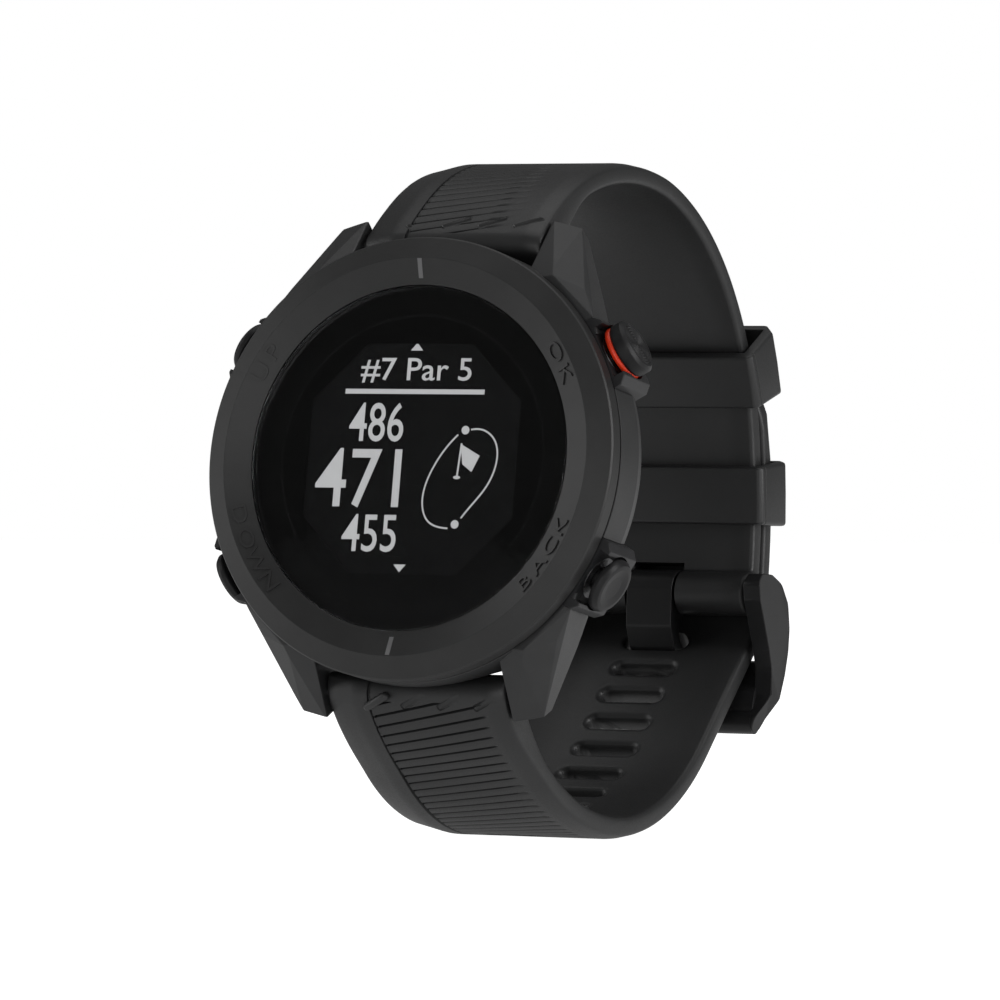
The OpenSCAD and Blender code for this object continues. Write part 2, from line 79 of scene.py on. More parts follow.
# Flat artwork is drawn in x and y: this stands it up as the dial's X and Z
DIAL_FACE = Matrix.Rotation(math.pi / 2, 4, "X")


def width_of(node):
    """A CAD node's width along X, in millimetres."""
    low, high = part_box(node)
    return (high.x - low.x) / MM


CASE_R = width_of("bezel") / 2
LENS_R = width_of("lens") / 2
GLASS_Y = -10.5
CREST_Y = GLASS_Y - 1
BEZEL_LOW_Y = GLASS_Y + 2
RIM_Y = BEZEL_LOW_Y + 0.2
DISPLAY_Y = GLASS_Y + 1.4
CAVITY_R = 16.6
LUG_X = 10.1

BUTTON_Y = -5.5
BUTTON_ANGLES = {"ok": 29.5, "back": -29.5, "up": 150.5, "down": 209.5}
CAP_R = 2.8
CAP_BACK_R = 23.0
OK_FACE_R = 24.6
CAP_FACE_R = 24.0
STEM_R = 1.0
STEM_END_R = 15.6
SINK_R = 21.9

# Centre lines of the strap, as [Y, Z] centres of the arcs that it lies on
TOP_C, TOP_IN_R = Vector((18.79, 2.49)), 29.7
BACK_C, BACK_IN_R = Vector((-1.5, -4.0)), 51.0
LOW_C, LOW_IN_R = Vector((19.0, -3.0)), 28.0
UPPER_BAR, LOWER_BAR = Vector((-3.1, 22.2)), Vector((-3.1, -22.2))
UPPER_T, UPPER_BACK_T, LOWER_T, TAIL_T = 2.1, 2.4, 2.3, 2.2
TAIL_IN_R = BACK_IN_R + UPPER_BACK_T + 0.3
CORNER_R = 8.0
CORNER_C = BACK_C + Vector((TAIL_IN_R - CORNER_R, 0))
BAR_ROLL_R = 2.1
SWELL = math.radians(22)
TAIL_END = math.radians(27)
ROLL_C, ROLL_R = BACK_C + Vector((BACK_IN_R + 0.2, -0.3)), 2.3
STRAP_W, STRAP_LUG_W = width_of("upper_strap"), 19.6
SLOT_COUNT, SLOT_PITCH, SLOT_L, SLOT_W, PIN_SLOT_W = 10, 4.1, 7.0, 1.8, 2.8
LEVER_X = 5.6

ARM_X = (11.2, 13.1)
FAR_BAR, FAR_BAR_R = Vector((51.1, -17.4)), 1.3
TONGUE_W = 5.1
KEEPER_T, KEEPER_W = 1.2, 6.3


# ---- Settings ----


class WatchSizes(bpy.types.PropertyGroup):
    """Sizes of the details that the frame leaves to the visible pieces."""

    rib_pitch: FloatProperty(
        name="Rib pitch", description="Distance from one strap rib to the next",
        default=1.25 * MM, unit="LENGTH")
    rib_depth: FloatProperty(
        name="Rib depth", description="Depth of the grooves between the strap ribs",
        default=0.36 * MM, unit="LENGTH")
    rib_slant: FloatProperty(
        name="Rib slant", description="Angle of the strap ribs off the strap's width",
        default=math.radians(12), subtype="ANGLE")
    border_groove: FloatProperty(
        name="Border groove", description="Depth of the long groove beside the ribbed panel",
        default=0.34 * MM, unit="LENGTH")
    slot_lip: FloatProperty(
        name="Slot lip", description="Radius of the rounded lip of an adjustment slot",
        default=0.55 * MM, unit="LENGTH")
    case_edge: FloatProperty(
        name="Case edge", description="Width of the softened edges of the case and lugs",
        default=0.16 * MM, unit="LENGTH")
    label_height: FloatProperty(
        name="Label height", description="Height of the raised button labels on the bezel",
        default=1.5 * MM, unit="LENGTH")
    label_rise: FloatProperty(
        name="Label rise", description="Height of the labels above the bezel",
        default=0.15 * MM, unit="LENGTH")


def colour_property(name, description, default):
    return FloatVectorProperty(
        name=name, description=description, default=default, size=3, min=0, max=1, subtype="COLOR")


class WatchFinishes(bpy.types.PropertyGroup):
    """Colours of the finishes, in linear light."""

    silicone: colour_property("Silicone", "Straps and keepers", (0.0135, 0.0137, 0.014))
    case: colour_property("Case", "Case body and lugs", (0.021, 0.0212, 0.0216))
    bezel: colour_property("Bezel", "Bezel ring", (0.016, 0.016, 0.016))
    mark: colour_property("Bezel marks", "Ticks at 12 and 6 o'clock", (0.13, 0.13, 0.133))
    guard: colour_property("Guards", "Button guards", (0.012, 0.012, 0.013))
    button: colour_property("Buttons", "Coated metal of the button caps", (0.012, 0.012, 0.0125))
    start_ring: colour_property("Start ring", "Ring of the start button", (0.80, 0.040, 0.006))
    buckle: colour_property("Buckle", "Coated metal of the buckle", (0.010, 0.010, 0.0105))
    screen: colour_property("Screen", "Dark ground of the display", (0.0050, 0.0050, 0.0051))
    figures: colour_property("Figures", "Figures and lines on the display", (0.20, 0.20, 0.20))
    floor: colour_property("Floor", "Studio floor", (0.6, 0.6, 0.6))


class WatchStudio(bpy.types.PropertyGroup):
    """Camera and lights."""

    lens: FloatProperty(
        name="Lens", description="Focal length in millimetres on a 36 mm sensor", default=278.056)
    azimuth: FloatProperty(
        name="Azimuth", description="Turn of the camera round the watch",
        default=math.radians(25.811), subtype="ANGLE")
    elevation: FloatProperty(
        name="Elevation", description="Height of the camera above the horizon",
        default=math.radians(1.134), subtype="ANGLE")
    roll: FloatProperty(
        name="Roll", description="Turn of the camera about its own axis",
        default=math.radians(0.2155), subtype="ANGLE")
    surround: FloatProperty(
        name="Surround", description="Strength of the light from all round", default=0.13, min=0)
    side_light: FloatProperty(
        name="Side lights", description="Power of the two tall side lights", default=4.0, min=0)
    top_light: FloatProperty(
        name="Top light", description="Power of the light above", default=2.3, min=0)
    front_light: FloatProperty(
        name="Front light", description="Power of the fill from the camera's side", default=2.0, min=0)


def sizes(name):
    """A size from the settings, in millimetres."""
    return getattr(bpy.context.scene.watch_sizes, name) / MM


# ---- Finishes ----


def node_of(tree, kind, **inputs):
    """A shader node with its inputs set by name."""
    node = tree.nodes.new(kind)
    for name, value in inputs.items():
        node.inputs[name.replace("_", " ")].default_value = value
    return node


def noise(tree, place, size_mm, detail=2.0, stretch=None):
    """A noise whose grains measure size_mm, stretched by a scale along x, y and z if given."""
    field = node_of(tree, "ShaderNodeTexNoise", Scale=1 / (size_mm * MM), Detail=detail)
    if stretch:
        mapping = node_of(tree, "ShaderNodeMapping", Scale=stretch)
        tree.links.new(place, mapping.inputs["Vector"])
        place = mapping.outputs["Vector"]
    tree.links.new(place, field.inputs["Vector"])
    return field.outputs["Fac"]


def spread(tree, field, low, high):
    """Maps the middle of a noise to a range of values."""
    ranged = node_of(tree, "ShaderNodeMapRange", From_Min=0.3, From_Max=0.7, To_Min=low, To_Max=high)
    tree.links.new(field, ranged.inputs["Value"])
    return ranged.outputs["Result"]


def tint(tree, field, dark, light):
    """Mixes two colours by a noise."""
    mix = tree.nodes.new("ShaderNodeMix")
    mix.data_type = "RGBA"
    mix.inputs["A"].default_value = (*dark, 1)
    mix.inputs["B"].default_value = (*light, 1)
    for socket in mix.inputs:
        if socket.type == "RGBA":
            socket.default_value = (*(dark if socket.name == "A" else light), 1)
    tree.links.new(spread(tree, field, 0, 1), mix.inputs["Factor"])
    return [s for s in mix.outputs if s.type == "RGBA"][0]


def surface(slot, colour, rough, metallic=0.0, level=0.5, grain=0.12, depth=0.006, mottle=3.0,
            shade=0.12, rough_shift=0.05, stretch=None, coat=0.0):
    """A moulded or machined surface: fine grain in its relief, slow drift in colour and gloss."""
    material = bpy.data.materials.new(slot + "_finish")
    material.use_nodes = True
    tree = material.node_tree
    shader = tree.nodes["Principled BSDF"]
    place = node_of(tree, "ShaderNodeTexCoord").outputs["Object"]
    drift = noise(tree, place, mottle, 4.0)
    fine = noise(tree, place, grain, 3.0, stretch)
    dark = [c * (1 - shade) for c in colour]
    light = [min(1, c * (1 + shade)) for c in colour]
    tree.links.new(tint(tree, drift, dark, light), shader.inputs["Base Color"])
    tree.links.new(spread(tree, fine, rough - rough_shift, rough + rough_shift),
                   shader.inputs["Roughness"])
    bump = node_of(tree, "ShaderNodeBump", Strength=0.6, Distance=depth * MM)
    tree.links.new(fine, bump.inputs["Height"])
    tree.links.new(bump.outputs["Normal"], shader.inputs["Normal"])
    shader.inputs["Metallic"].default_value = metallic
    shader.inputs["Specular IOR Level"].default_value = level
    if coat:
        shader.inputs["Coat Weight"].default_value = coat
        shader.inputs["Coat Roughness"].default_value = 0.2
    return material


def glass(slot):
    """Clear strengthened glass with a faint unevenness in its gloss."""
    material = surface(slot, (0.92, 0.93, 0.94), 0.03, level=0.3, grain=2.0, depth=0.0002,
                       mottle=6.0, shade=0.02, rough_shift=0.01)
    shader = material.node_tree.nodes["Principled BSDF"]
    shader.inputs["Transmission Weight"].default_value = 1
    shader.inputs["IOR"].default_value = 1.3
    return material


def glowing_figures(slot, colour):
    """Grey figures of the display: they reflect, and carry a painted glow, so they show at the same grey in any
    light.
    """
    material = surface(slot, colour, 0.5, level=0.1, grain=0.08, depth=0.001, mottle=1.0, shade=0.05)
    shader = material.node_tree.nodes["Principled BSDF"]
    # painted light: an even white glow, with no lamp behind it, stands in for the light that reaches the figures
    # through the glass
    shader.inputs["Emission Color"].default_value = (1, 1, 1, 1)
    shader.inputs["Emission Strength"].default_value = 0.42
    return material


def make_finish(slot):
    """The finish of one material slot of the record."""
    look = bpy.context.scene.watch_finishes
    steel = (0.48, 0.48, 0.49)
    makers = {
        "case_polymer": lambda: surface(slot, look.case, 0.48, level=0.45, grain=0.10, depth=0.010),
        "bezel_polymer": lambda: surface(slot, look.bezel, 0.46, level=0.4, grain=0.09, depth=0.009),
        "bezel_mark": lambda: surface(slot, look.mark, 0.5, grain=0.06, depth=0.004),
        "lens_glass": lambda: glass(slot),
        "black_print": lambda: surface(slot, (0.002, 0.002, 0.002), 0.5, level=0.04, grain=0.05,
                                       depth=0.001),
        "gasket": lambda: surface(slot, (0.003, 0.003, 0.003), 0.6, level=0.05, grain=0.08, depth=0.004),
        "display": lambda: surface(slot, look.screen, 0.5, level=0.06, grain=0.10, depth=0.001,
                                   shade=0.2),
        "holder": lambda: surface(slot, (0.05, 0.05, 0.052), 0.6, grain=0.15, depth=0.01),
        "circuit": lambda: surface(slot, (0.02, 0.11, 0.05), 0.35, grain=0.4, depth=0.02,
                                   mottle=0.9, shade=0.5, coat=0.3),
        "switch": lambda: surface(slot, (0.35, 0.35, 0.36), 0.4, 0.8, grain=0.05, depth=0.004),
        "cell": lambda: surface(slot, (0.42, 0.44, 0.46), 0.35, 0.9, grain=1.6, depth=0.05, mottle=2.5),
        "antenna": lambda: surface(slot, (0.6, 0.46, 0.22), 0.35, 0.9, grain=0.08, depth=0.004),
        "cover": lambda: surface(slot, (0.022, 0.023, 0.025), 0.55, grain=0.13, depth=0.012),
        "screw_steel": lambda: surface(slot, steel, 0.32, 1.0, grain=0.05, depth=0.003,
                                       stretch=(1, 6, 1)),
        "contact_gold": lambda: surface(slot, (0.75, 0.55, 0.2), 0.25, 1.0, grain=0.04, depth=0.002),
        "button_metal": lambda: surface(slot, look.button, 0.42, level=0.22, grain=0.06, depth=0.003),
        "start_ring": lambda: surface(slot, look.start_ring, 0.42, grain=0.08, depth=0.003, shade=0.06),
        "guard_polymer": lambda: surface(slot, look.guard, 0.45, grain=0.10, depth=0.006),
        "strap_silicone": lambda: surface(slot, look.silicone, 0.46, level=0.5, grain=0.16, depth=0.008,
                                          mottle=5.0, shade=0.10, rough_shift=0.06),
        "pin_steel": lambda: surface(slot, steel, 0.3, 1.0, grain=0.05, depth=0.003, stretch=(0.1, 1, 1)),
        "buckle_metal": lambda: surface(slot, look.buckle, 0.38, level=0.32, grain=0.07, depth=0.003),
        "figures": lambda: glowing_figures(slot, look.figures),
    }
    return makers[slot]()


def finish(slot):
    """The finish of a slot, made once."""
    return bpy.data.materials.get(slot + "_finish") or make_finish(slot)


# ---- Making pieces ----


def rounded(corners, radius, steps=3):
    """A closed outline with rounded corners. A corner may carry its own radius as a third number."""
    outline = []
    for i, corner in enumerate(corners):
        here = Vector(corner[:2])
        back = Vector(corners[i - 1][:2]) - here
        ahead = Vector(corners[(i + 1) % len(corners)][:2]) - here
        own = corner[2] if len(corner) > 2 else radius
        half = back.angle(ahead) / 2
        if own <= 0 or half > math.radians(88):
            outline.append(here)
            continue
        cut = min(own / math.tan(half), back.length * 0.45, ahead.length * 0.45)
        start, end = here + back.normalized() * cut, here + ahead.normalized() * cut
        for k in range(steps + 1):
            t = k / steps
            outline.append(start * (1 - t) ** 2 + here * 2 * t * (1 - t) + end * t ** 2)
    return outline


def arc_points(centre, radius, start, end, count):
    """Points along an arc, with its angles in degrees."""
    turns = [math.radians(start + (end - start) * k / count) for k in range(count + 1)]
    return [centre + Vector((math.cos(a), math.sin(a))) * radius for a in turns]


def add(bm, part, matrix=None):
    """Moves a part by a matrix and adds it to bm."""
    if matrix is not None:
        part.transform(matrix)
    mesh = bpy.data.meshes.new("part")
    part.to_mesh(mesh)
    part.free()
    bm.from_mesh(mesh)
    bpy.data.meshes.remove(mesh)
    return bm


def clean(bm):
    """Closes seams and poles and turns the faces outwards."""
    bmesh.ops.remove_doubles(bm, verts=bm.verts, dist=0.0004)
    bmesh.ops.dissolve_degenerate(bm, edges=bm.edges, dist=0.0002)
    bmesh.ops.recalc_face_normals(bm, faces=bm.faces)
    return bm


def turned(outline, steps=96, matrix=DIAL_AXIS):
    """Spins a closed outline of (radius, height) points once round."""
    bm = bmesh.new()
    corners = [bm.verts.new((p[0], 0, p[1])) for p in outline]
    rim = [bm.edges.new((corners[i - 1], corners[i])) for i in range(len(corners))]
    bmesh.ops.spin(bm, geom=corners + rim, cent=(0, 0, 0), axis=(0, 0, 1), angle=2 * math.pi,
                   steps=steps, use_merge=True)
    bmesh.ops.remove_doubles(bm, verts=bm.verts, dist=0.0004)
    on_axis = [e for e in bm.edges if all(v.co.xy.length < 1e-6 for v in e.verts)]
    bmesh.ops.delete(bm, geom=on_axis, context="EDGES")
    clean(bm)
    if any(not e.is_manifold for e in bm.edges):
        raise RuntimeError("a turned piece is open")
    bm.transform(matrix)
    return bm


def soften(bm, width, angle=25.0, segments=2):
    """Rounds every edge that turns by more than an angle."""
    edges = [e for e in bm.edges if len(e.link_faces) == 2 and e.calc_face_angle() > math.radians(angle)]
    bmesh.ops.bevel(bm, geom=edges, offset=width, offset_type="OFFSET", segments=segments,
                    profile=0.5, affect="EDGES", material=-1, clamp_overlap=True)
    return bm


def prism(outline, x0, x1, edge=0.0, segments=2):
    """A [Y, Z] outline extruded along X."""
    bm = bmesh.new()
    face = bm.faces.new([bm.verts.new((x0, p[0], p[1])) for p in outline])
    moved = bmesh.ops.extrude_face_region(bm, geom=[face])["geom"]
    bmesh.ops.translate(bm, verts=[v for v in moved if isinstance(v, bmesh.types.BMVert)],
                        vec=(x1 - x0, 0, 0))
    clean(bm)
    if edge:
        soften(bm, edge, 40, segments)
    return bm


def rod(centre, radius, x0, x1, edge=0.0, sides=48):
    """A round bar along X."""
    outline = arc_points(centre, radius, 0, 360 * (sides - 1) / sides, sides - 1)
    return prism(outline, x0, x1, edge)


def box(low, high):
    """A plain block between two corners."""
    bm = bmesh.new()
    low, high = Vector(low), Vector(high)
    bmesh.ops.create_cube(bm, size=1)
    bmesh.ops.scale(bm, vec=high - low, verts=bm.verts)
    bmesh.ops.translate(bm, vec=(low + high) / 2, verts=bm.verts)
    return bm


def plain_object(bm, name):
    mesh = bpy.data.meshes.new(name)
    bm.to_mesh(mesh)
    bm.free()
    thing = bpy.data.objects.new(name, mesh)
    bpy.context.scene.collection.objects.link(thing)
    return thing


def carve(bm, *cutters):
    """Cuts each cutter out of bm in turn."""
    volume = bm.calc_volume()
    body = plain_object(bm, "carved")
    tools = [plain_object(cutter, "cutter") for cutter in cutters]
    for tool in tools:
        cut = body.modifiers.new("cut", "BOOLEAN")
        cut.operation = "DIFFERENCE"
        cut.solver = "EXACT"
        cut.object = tool
    graph = bpy.context.evaluated_depsgraph_get()
    mesh = bpy.data.meshes.new_from_object(body.evaluated_get(graph))
    carved = bmesh.new()
    carved.from_mesh(mesh)
    bpy.data.meshes.remove(mesh)
    if carved.calc_volume() < 0.5 * volume:
        raise RuntimeError("a cut took more than half of a piece")
    for thing in (body, *tools):
        spare = thing.data
        bpy.data.objects.remove(thing)
        bpy.data.meshes.remove(spare)
    return carved


def skin(rows, columns, place, closed_rows=False):
    """A skin over rows and columns, closed round its columns: place(row, column) gives a point."""
    around = list(columns) + [columns[0]]
    along = list(rows) + ([rows[0]] if closed_rows else [])
    bm = bmesh.new()
    bmesh.ops.create_grid(bm, x_segments=len(around) - 1, y_segments=len(along) - 1, size=0.5)
    for v in bm.verts:
        row = along[round((v.co.y + 0.5) * (len(along) - 1))]
        column = around[round((v.co.x + 0.5) * (len(around) - 1))]
        v.co = place(row, column)
    bmesh.ops.remove_doubles(bm, verts=bm.verts, dist=0.0004)
    if not closed_rows:
        open_edges = [e for e in bm.edges if e.is_boundary]
        bmesh.ops.holes_fill(bm, edges=open_edges, sides=0)
    return clean(bm)


def put(name, bm, body, slot, replaces=(), sharp=32.0, even=False):
    """Puts a piece in the frame, riding on its body and finished in its slot's material."""
    bm.transform(TO_FRAME)
    mesh = bpy.data.meshes.new(name)
    bm.to_mesh(mesh)
    bm.free()
    mesh.shade_smooth()
    mesh.set_sharp_from_angle(angle=math.radians(sharp))
    mesh.materials.append(finish(slot))
    piece = bpy.data.objects.new(name, mesh)
    bpy.context.scene.collection.objects.link(piece)
    if even:
        weigh = piece.modifiers.new("flat faces stay flat", "WEIGHTED_NORMAL")
        weigh.keep_sharp = True
    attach(piece, body)
    if replaces:
        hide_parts(*replaces)
    return piece


# ---- Case ----


def lug():
    """The upper right lug."""
    corners = [
        (LUG_X, RIM_Y, 13.6), (LUG_X, RIM_Y, 18), (LUG_X, -3.2, 24.75), (LUG_X, -1.1, 23.4),
        (LUG_X, -0.6, 19.8), (LUG_X, -0.6, 13.6), (13, RIM_Y, 18.4), (12.65, -7.6, 19.39),
        (10.3, -3.34, 24.72), (18.3, RIM_Y, 12.6), (17.7, -8.2, 14.2), (16, -7.2, 17.2),
        (14.5, -5.2, 20.5), (13.1, -2.7, 24.1), (13.1, -1, 23.2), (13.7, -0.6, 19.8),
        (15.2, -0.8, 17), (16.4, -1.4, 14), (17.2, -3.4, 13.2)]
    bm = bmesh.new()
    for corner in corners:
        bm.verts.new(corner)
    hull = bmesh.ops.convex_hull(bm, input=bm.verts)
    bmesh.ops.delete(bm, geom=[v for v in hull["geom_interior"] if isinstance(v, bmesh.types.BMVert)],
                     context="VERTS")
    bmesh.ops.dissolve_limit(bm, angle_limit=math.radians(2), verts=bm.verts, edges=bm.edges)
    clean(bm)
    return soften(bm, sizes("case_edge"), 8)


def case_ring():
    """The round wall of the case, with room for the strap ends and pockets for the guards."""
    ring = turned(rounded([
        (CAVITY_R, RIM_Y + 0.4, 0), (20.2, RIM_Y + 0.4, 0), (20.2, RIM_Y, 0), (CASE_R, RIM_Y, 0.12),
        (CASE_R, -4.3, 0.3), (CASE_R - 0.5, -2.6, 0.3), (CASE_R - 1.6, -0.6, 0.2), (18.4, -0.6, 0.1),
        (18.4, -1.75, 0), (CAVITY_R, -1.75, 0)], 0), 192)
    cutters = []
    for side in (1, -1):
        centre = Vector((UPPER_BAR.x, UPPER_BAR.y * side))
        cutters.append(rod(centre, BAR_ROLL_R + 0.45, -LUG_X, LUG_X))
        z0, z1 = sorted((side * (UPPER_BAR.y - BAR_ROLL_R - 0.45), side * 30))
        cutters.append(box((-LUG_X, UPPER_BAR.x, z0), (LUG_X, 5, z1)))
    for angle in BUTTON_ANGLES.values():
        pocket = box((-3.15, -3.85, 20.55), (3.15, 3.85, 28))
        pocket.transform(at_button(angle))
        cutters.append(pocket)
    return carve(ring, *cutters)


def four_ways(part):
    """A part and its mirror images in X and Z, as one bmesh."""
    bm = bmesh.new()
    for sx in (1, -1):
        for sz in (1, -1):
            add(bm, part.copy(), Matrix.Diagonal((sx, 1, sz, 1)))
    part.free()
    bmesh.ops.recalc_face_normals(bm, faces=bm.faces)
    return bm


class WATCH_OT_case(bpy.types.Operator):
    """Case ring and its four lugs"""

    bl_idname = "watch.case"
    bl_label = "Case"

    def execute(self, context):
        bm = case_ring()
        pins = [rod(bar, 0.45, side * LUG_X - 1.5, side * LUG_X + 1.5)
                for bar in (UPPER_BAR, LOWER_BAR) for side in (1, -1)]
        lugs = carve(four_ways(lug()), *pins)
        put("case_shell", bm, "watch", "case_polymer", ["case_body"], even=True)
        put("case_lugs", lugs, "watch", "case_polymer", even=True)
        return {"FINISHED"}


# ---- Bezel and its labels ----

RING_IN = (LENS_R + 0.35, GLASS_Y - 0.12)
RING_OUT = (CASE_R - 2.25, CREST_Y)
LABEL_R = 18.5
LABEL_STRETCH = 1.35


def letter(text, height, thickness, heavier=0.0):
    """One line of lettering as a closed mesh centred on its own box, in x and y."""
    curve = bpy.data.curves.new("lettering", "FONT")
    curve.body = text
    curve.size = height / 0.7
    curve.offset = heavier
    curve.extrude = thickness / 2
    curve.resolution_u = 4
    thing = bpy.data.objects.new("lettering", curve)
    bpy.context.scene.collection.objects.link(thing)
    graph = bpy.context.evaluated_depsgraph_get()
    mesh = bpy.data.meshes.new_from_object(thing.evaluated_get(graph))
    bpy.data.objects.remove(thing)
    bpy.data.curves.remove(curve)
    bm = bmesh.new()
    bm.from_mesh(mesh)
    bpy.data.meshes.remove(mesh)
    bmesh.ops.remove_doubles(bm, verts=bm.verts, dist=0.0004)
    xs, ys = [v.co.x for v in bm.verts], [v.co.y for v in bm.verts]
    centre = Vector(((min(xs) + max(xs)) / 2, (min(ys) + max(ys)) / 2, 0))
    bmesh.ops.translate(bm, verts=bm.verts, vec=-centre)
    return bm


def ring_place(degrees, tops_outward):
    """Lays flat artwork on the bezel's sloping ring at an angle from 3 o'clock."""
    slope = math.atan2(RING_IN[1] - RING_OUT[1], RING_OUT[0] - RING_IN[0])
    share = (LABEL_R - RING_IN[0]) / (RING_OUT[0] - RING_IN[0])
    level = RING_IN[1] + (RING_OUT[1] - RING_IN[1]) * share
    flip = Matrix.Rotation(0 if tops_outward else math.pi, 4, "Z")
    tilt = Matrix.Rotation(slope, 4, "X")
    lift = Matrix.Translation((0, level, LABEL_R))
    return Matrix.Rotation(math.radians(90 - degrees), 4, "Y") @ lift @ DIAL_FACE @ tilt @ flip


LABELS = {  # middle angle, pitch between letters, tops outward
    "UP": (150.0, 7.3, True), "OK": (30.3, 7.8, True),
    "DOWN": (-149.5, 7.9, False), "BACK": (-31.0, 6.7, False)}


class WATCH_OT_bezel(bpy.types.Operator):
    """Bezel ring with a soft lip, and the raised labels of the four buttons"""

    bl_idname = "watch.bezel"
    bl_label = "Bezel"

    def execute(self, context):
        outline = rounded([
            (LENS_R + 0.05, GLASS_Y, 0.05), (*RING_IN, 0.1), (*RING_OUT, 0.12),
            (CASE_R - 0.15, GLASS_Y + 0.1, 0.08), (CASE_R, GLASS_Y + 0.3, 0.1),
            (CASE_R, BEZEL_LOW_Y - 0.15, 0.08), (CASE_R - 0.15, BEZEL_LOW_Y, 0.05),
            (20.25, BEZEL_LOW_Y, 0), (20.25, DISPLAY_Y - 0.1, 0), (LENS_R + 0.05, DISPLAY_Y - 0.1, 0)], 0)
        put("bezel_ring", turned(outline, 256), "watch", "bezel_polymer", ["bezel"], even=True)
        for word, (middle, pitch, outward) in LABELS.items():
            bm = bmesh.new()
            for i, character in enumerate(word):
                step = (i - (len(word) - 1) / 2) * pitch
                degrees = middle - step if outward else middle + step
                rise = sizes("label_rise")
                part = letter(character, sizes("label_height"), 2 * rise)
                part.transform(Matrix.Diagonal((LABEL_STRETCH, 1, 1, 1)))
                add(bm, part, ring_place(degrees, outward))
            put("label_" + word.lower(), bm, "watch", "bezel_polymer", sharp=25)
        return {"FINISHED"}


# ---- Lens and display ----


def on_screen(part, x, z, wide=1.0):
    """Lays flat artwork on the display, its middle at x and z, stretched to a width."""
    part.transform(Matrix.Diagonal((wide, 1, 1, 1)))
    part.transform(Matrix.Translation((x, DISPLAY_Y - 0.03, z)) @ DIAL_FACE)
    return part


def flat_shape(outline, thickness=0.02):
    """A flat closed outline with a little thickness, in x and y."""
    bm = bmesh.new()
    face = bm.faces.new([bm.verts.new((p[0], p[1], -thickness / 2)) for p in outline])
    moved = bmesh.ops.extrude_face_region(bm, geom=[face])["geom"]
    bmesh.ops.translate(bm, verts=[v for v in moved if isinstance(v, bmesh.types.BMVert)],
                        vec=(0, 0, thickness))
    return clean(bm)


def drawn_line(points, width):
    """A smooth line of the drawing through its points, as a mesh, in x and y."""
    curve = bpy.data.curves.new("line", "CURVE")
    curve.dimensions = "3D"
    curve.bevel_depth = width / 2
    curve.bevel_resolution = 2
    curve.use_fill_caps = True
    spline = curve.splines.new("NURBS")
    spline.points.add(len(points) - 1)
    for point, (x, y) in zip(spline.points, points):
        point.co = (x, y, 0, 1)
    spline.order_u = 4
    spline.use_endpoint_u = True
    spline.resolution_u = 8
    thing = bpy.data.objects.new("line", curve)
    bpy.context.scene.collection.objects.link(thing)
    graph = bpy.context.evaluated_depsgraph_get()
    mesh = bpy.data.meshes.new_from_object(thing.evaluated_get(graph))
    bpy.data.objects.remove(thing)
    bpy.data.curves.remove(curve)
    bm = bmesh.new()
    bm.from_mesh(mesh)
    bpy.data.meshes.remove(mesh)
    bmesh.ops.scale(bm, vec=(1, 1, 0.1), verts=bm.verts)
    return clean(bm)


NUMBERS = (  # text, middle x, middle z, height, width
    ("#7 Par 5", -0.35, 8.75, 2.45, 12.0), ("486", -4.2, 3.62, 3.85, 5.9),
    ("471", -5.75, -1.9, 5.85, 9.2), ("455", -4.05, -7.32, 3.7, 5.9))
FAIRWAY = (
    ((6.1, 2.95), (7.0, 3.15), (8.3, 2.7), (9.25, 1.2), (9.1, -1.0), (8.0, -3.2), (6.6, -4.6), (5.75, -5.75)),
    ((4.75, 2.45), (3.6, 1.35), (2.2, -0.8), (1.35, -3.2), (1.45, -5.4), (2.6, -6.7), (4.4, -6.75)))


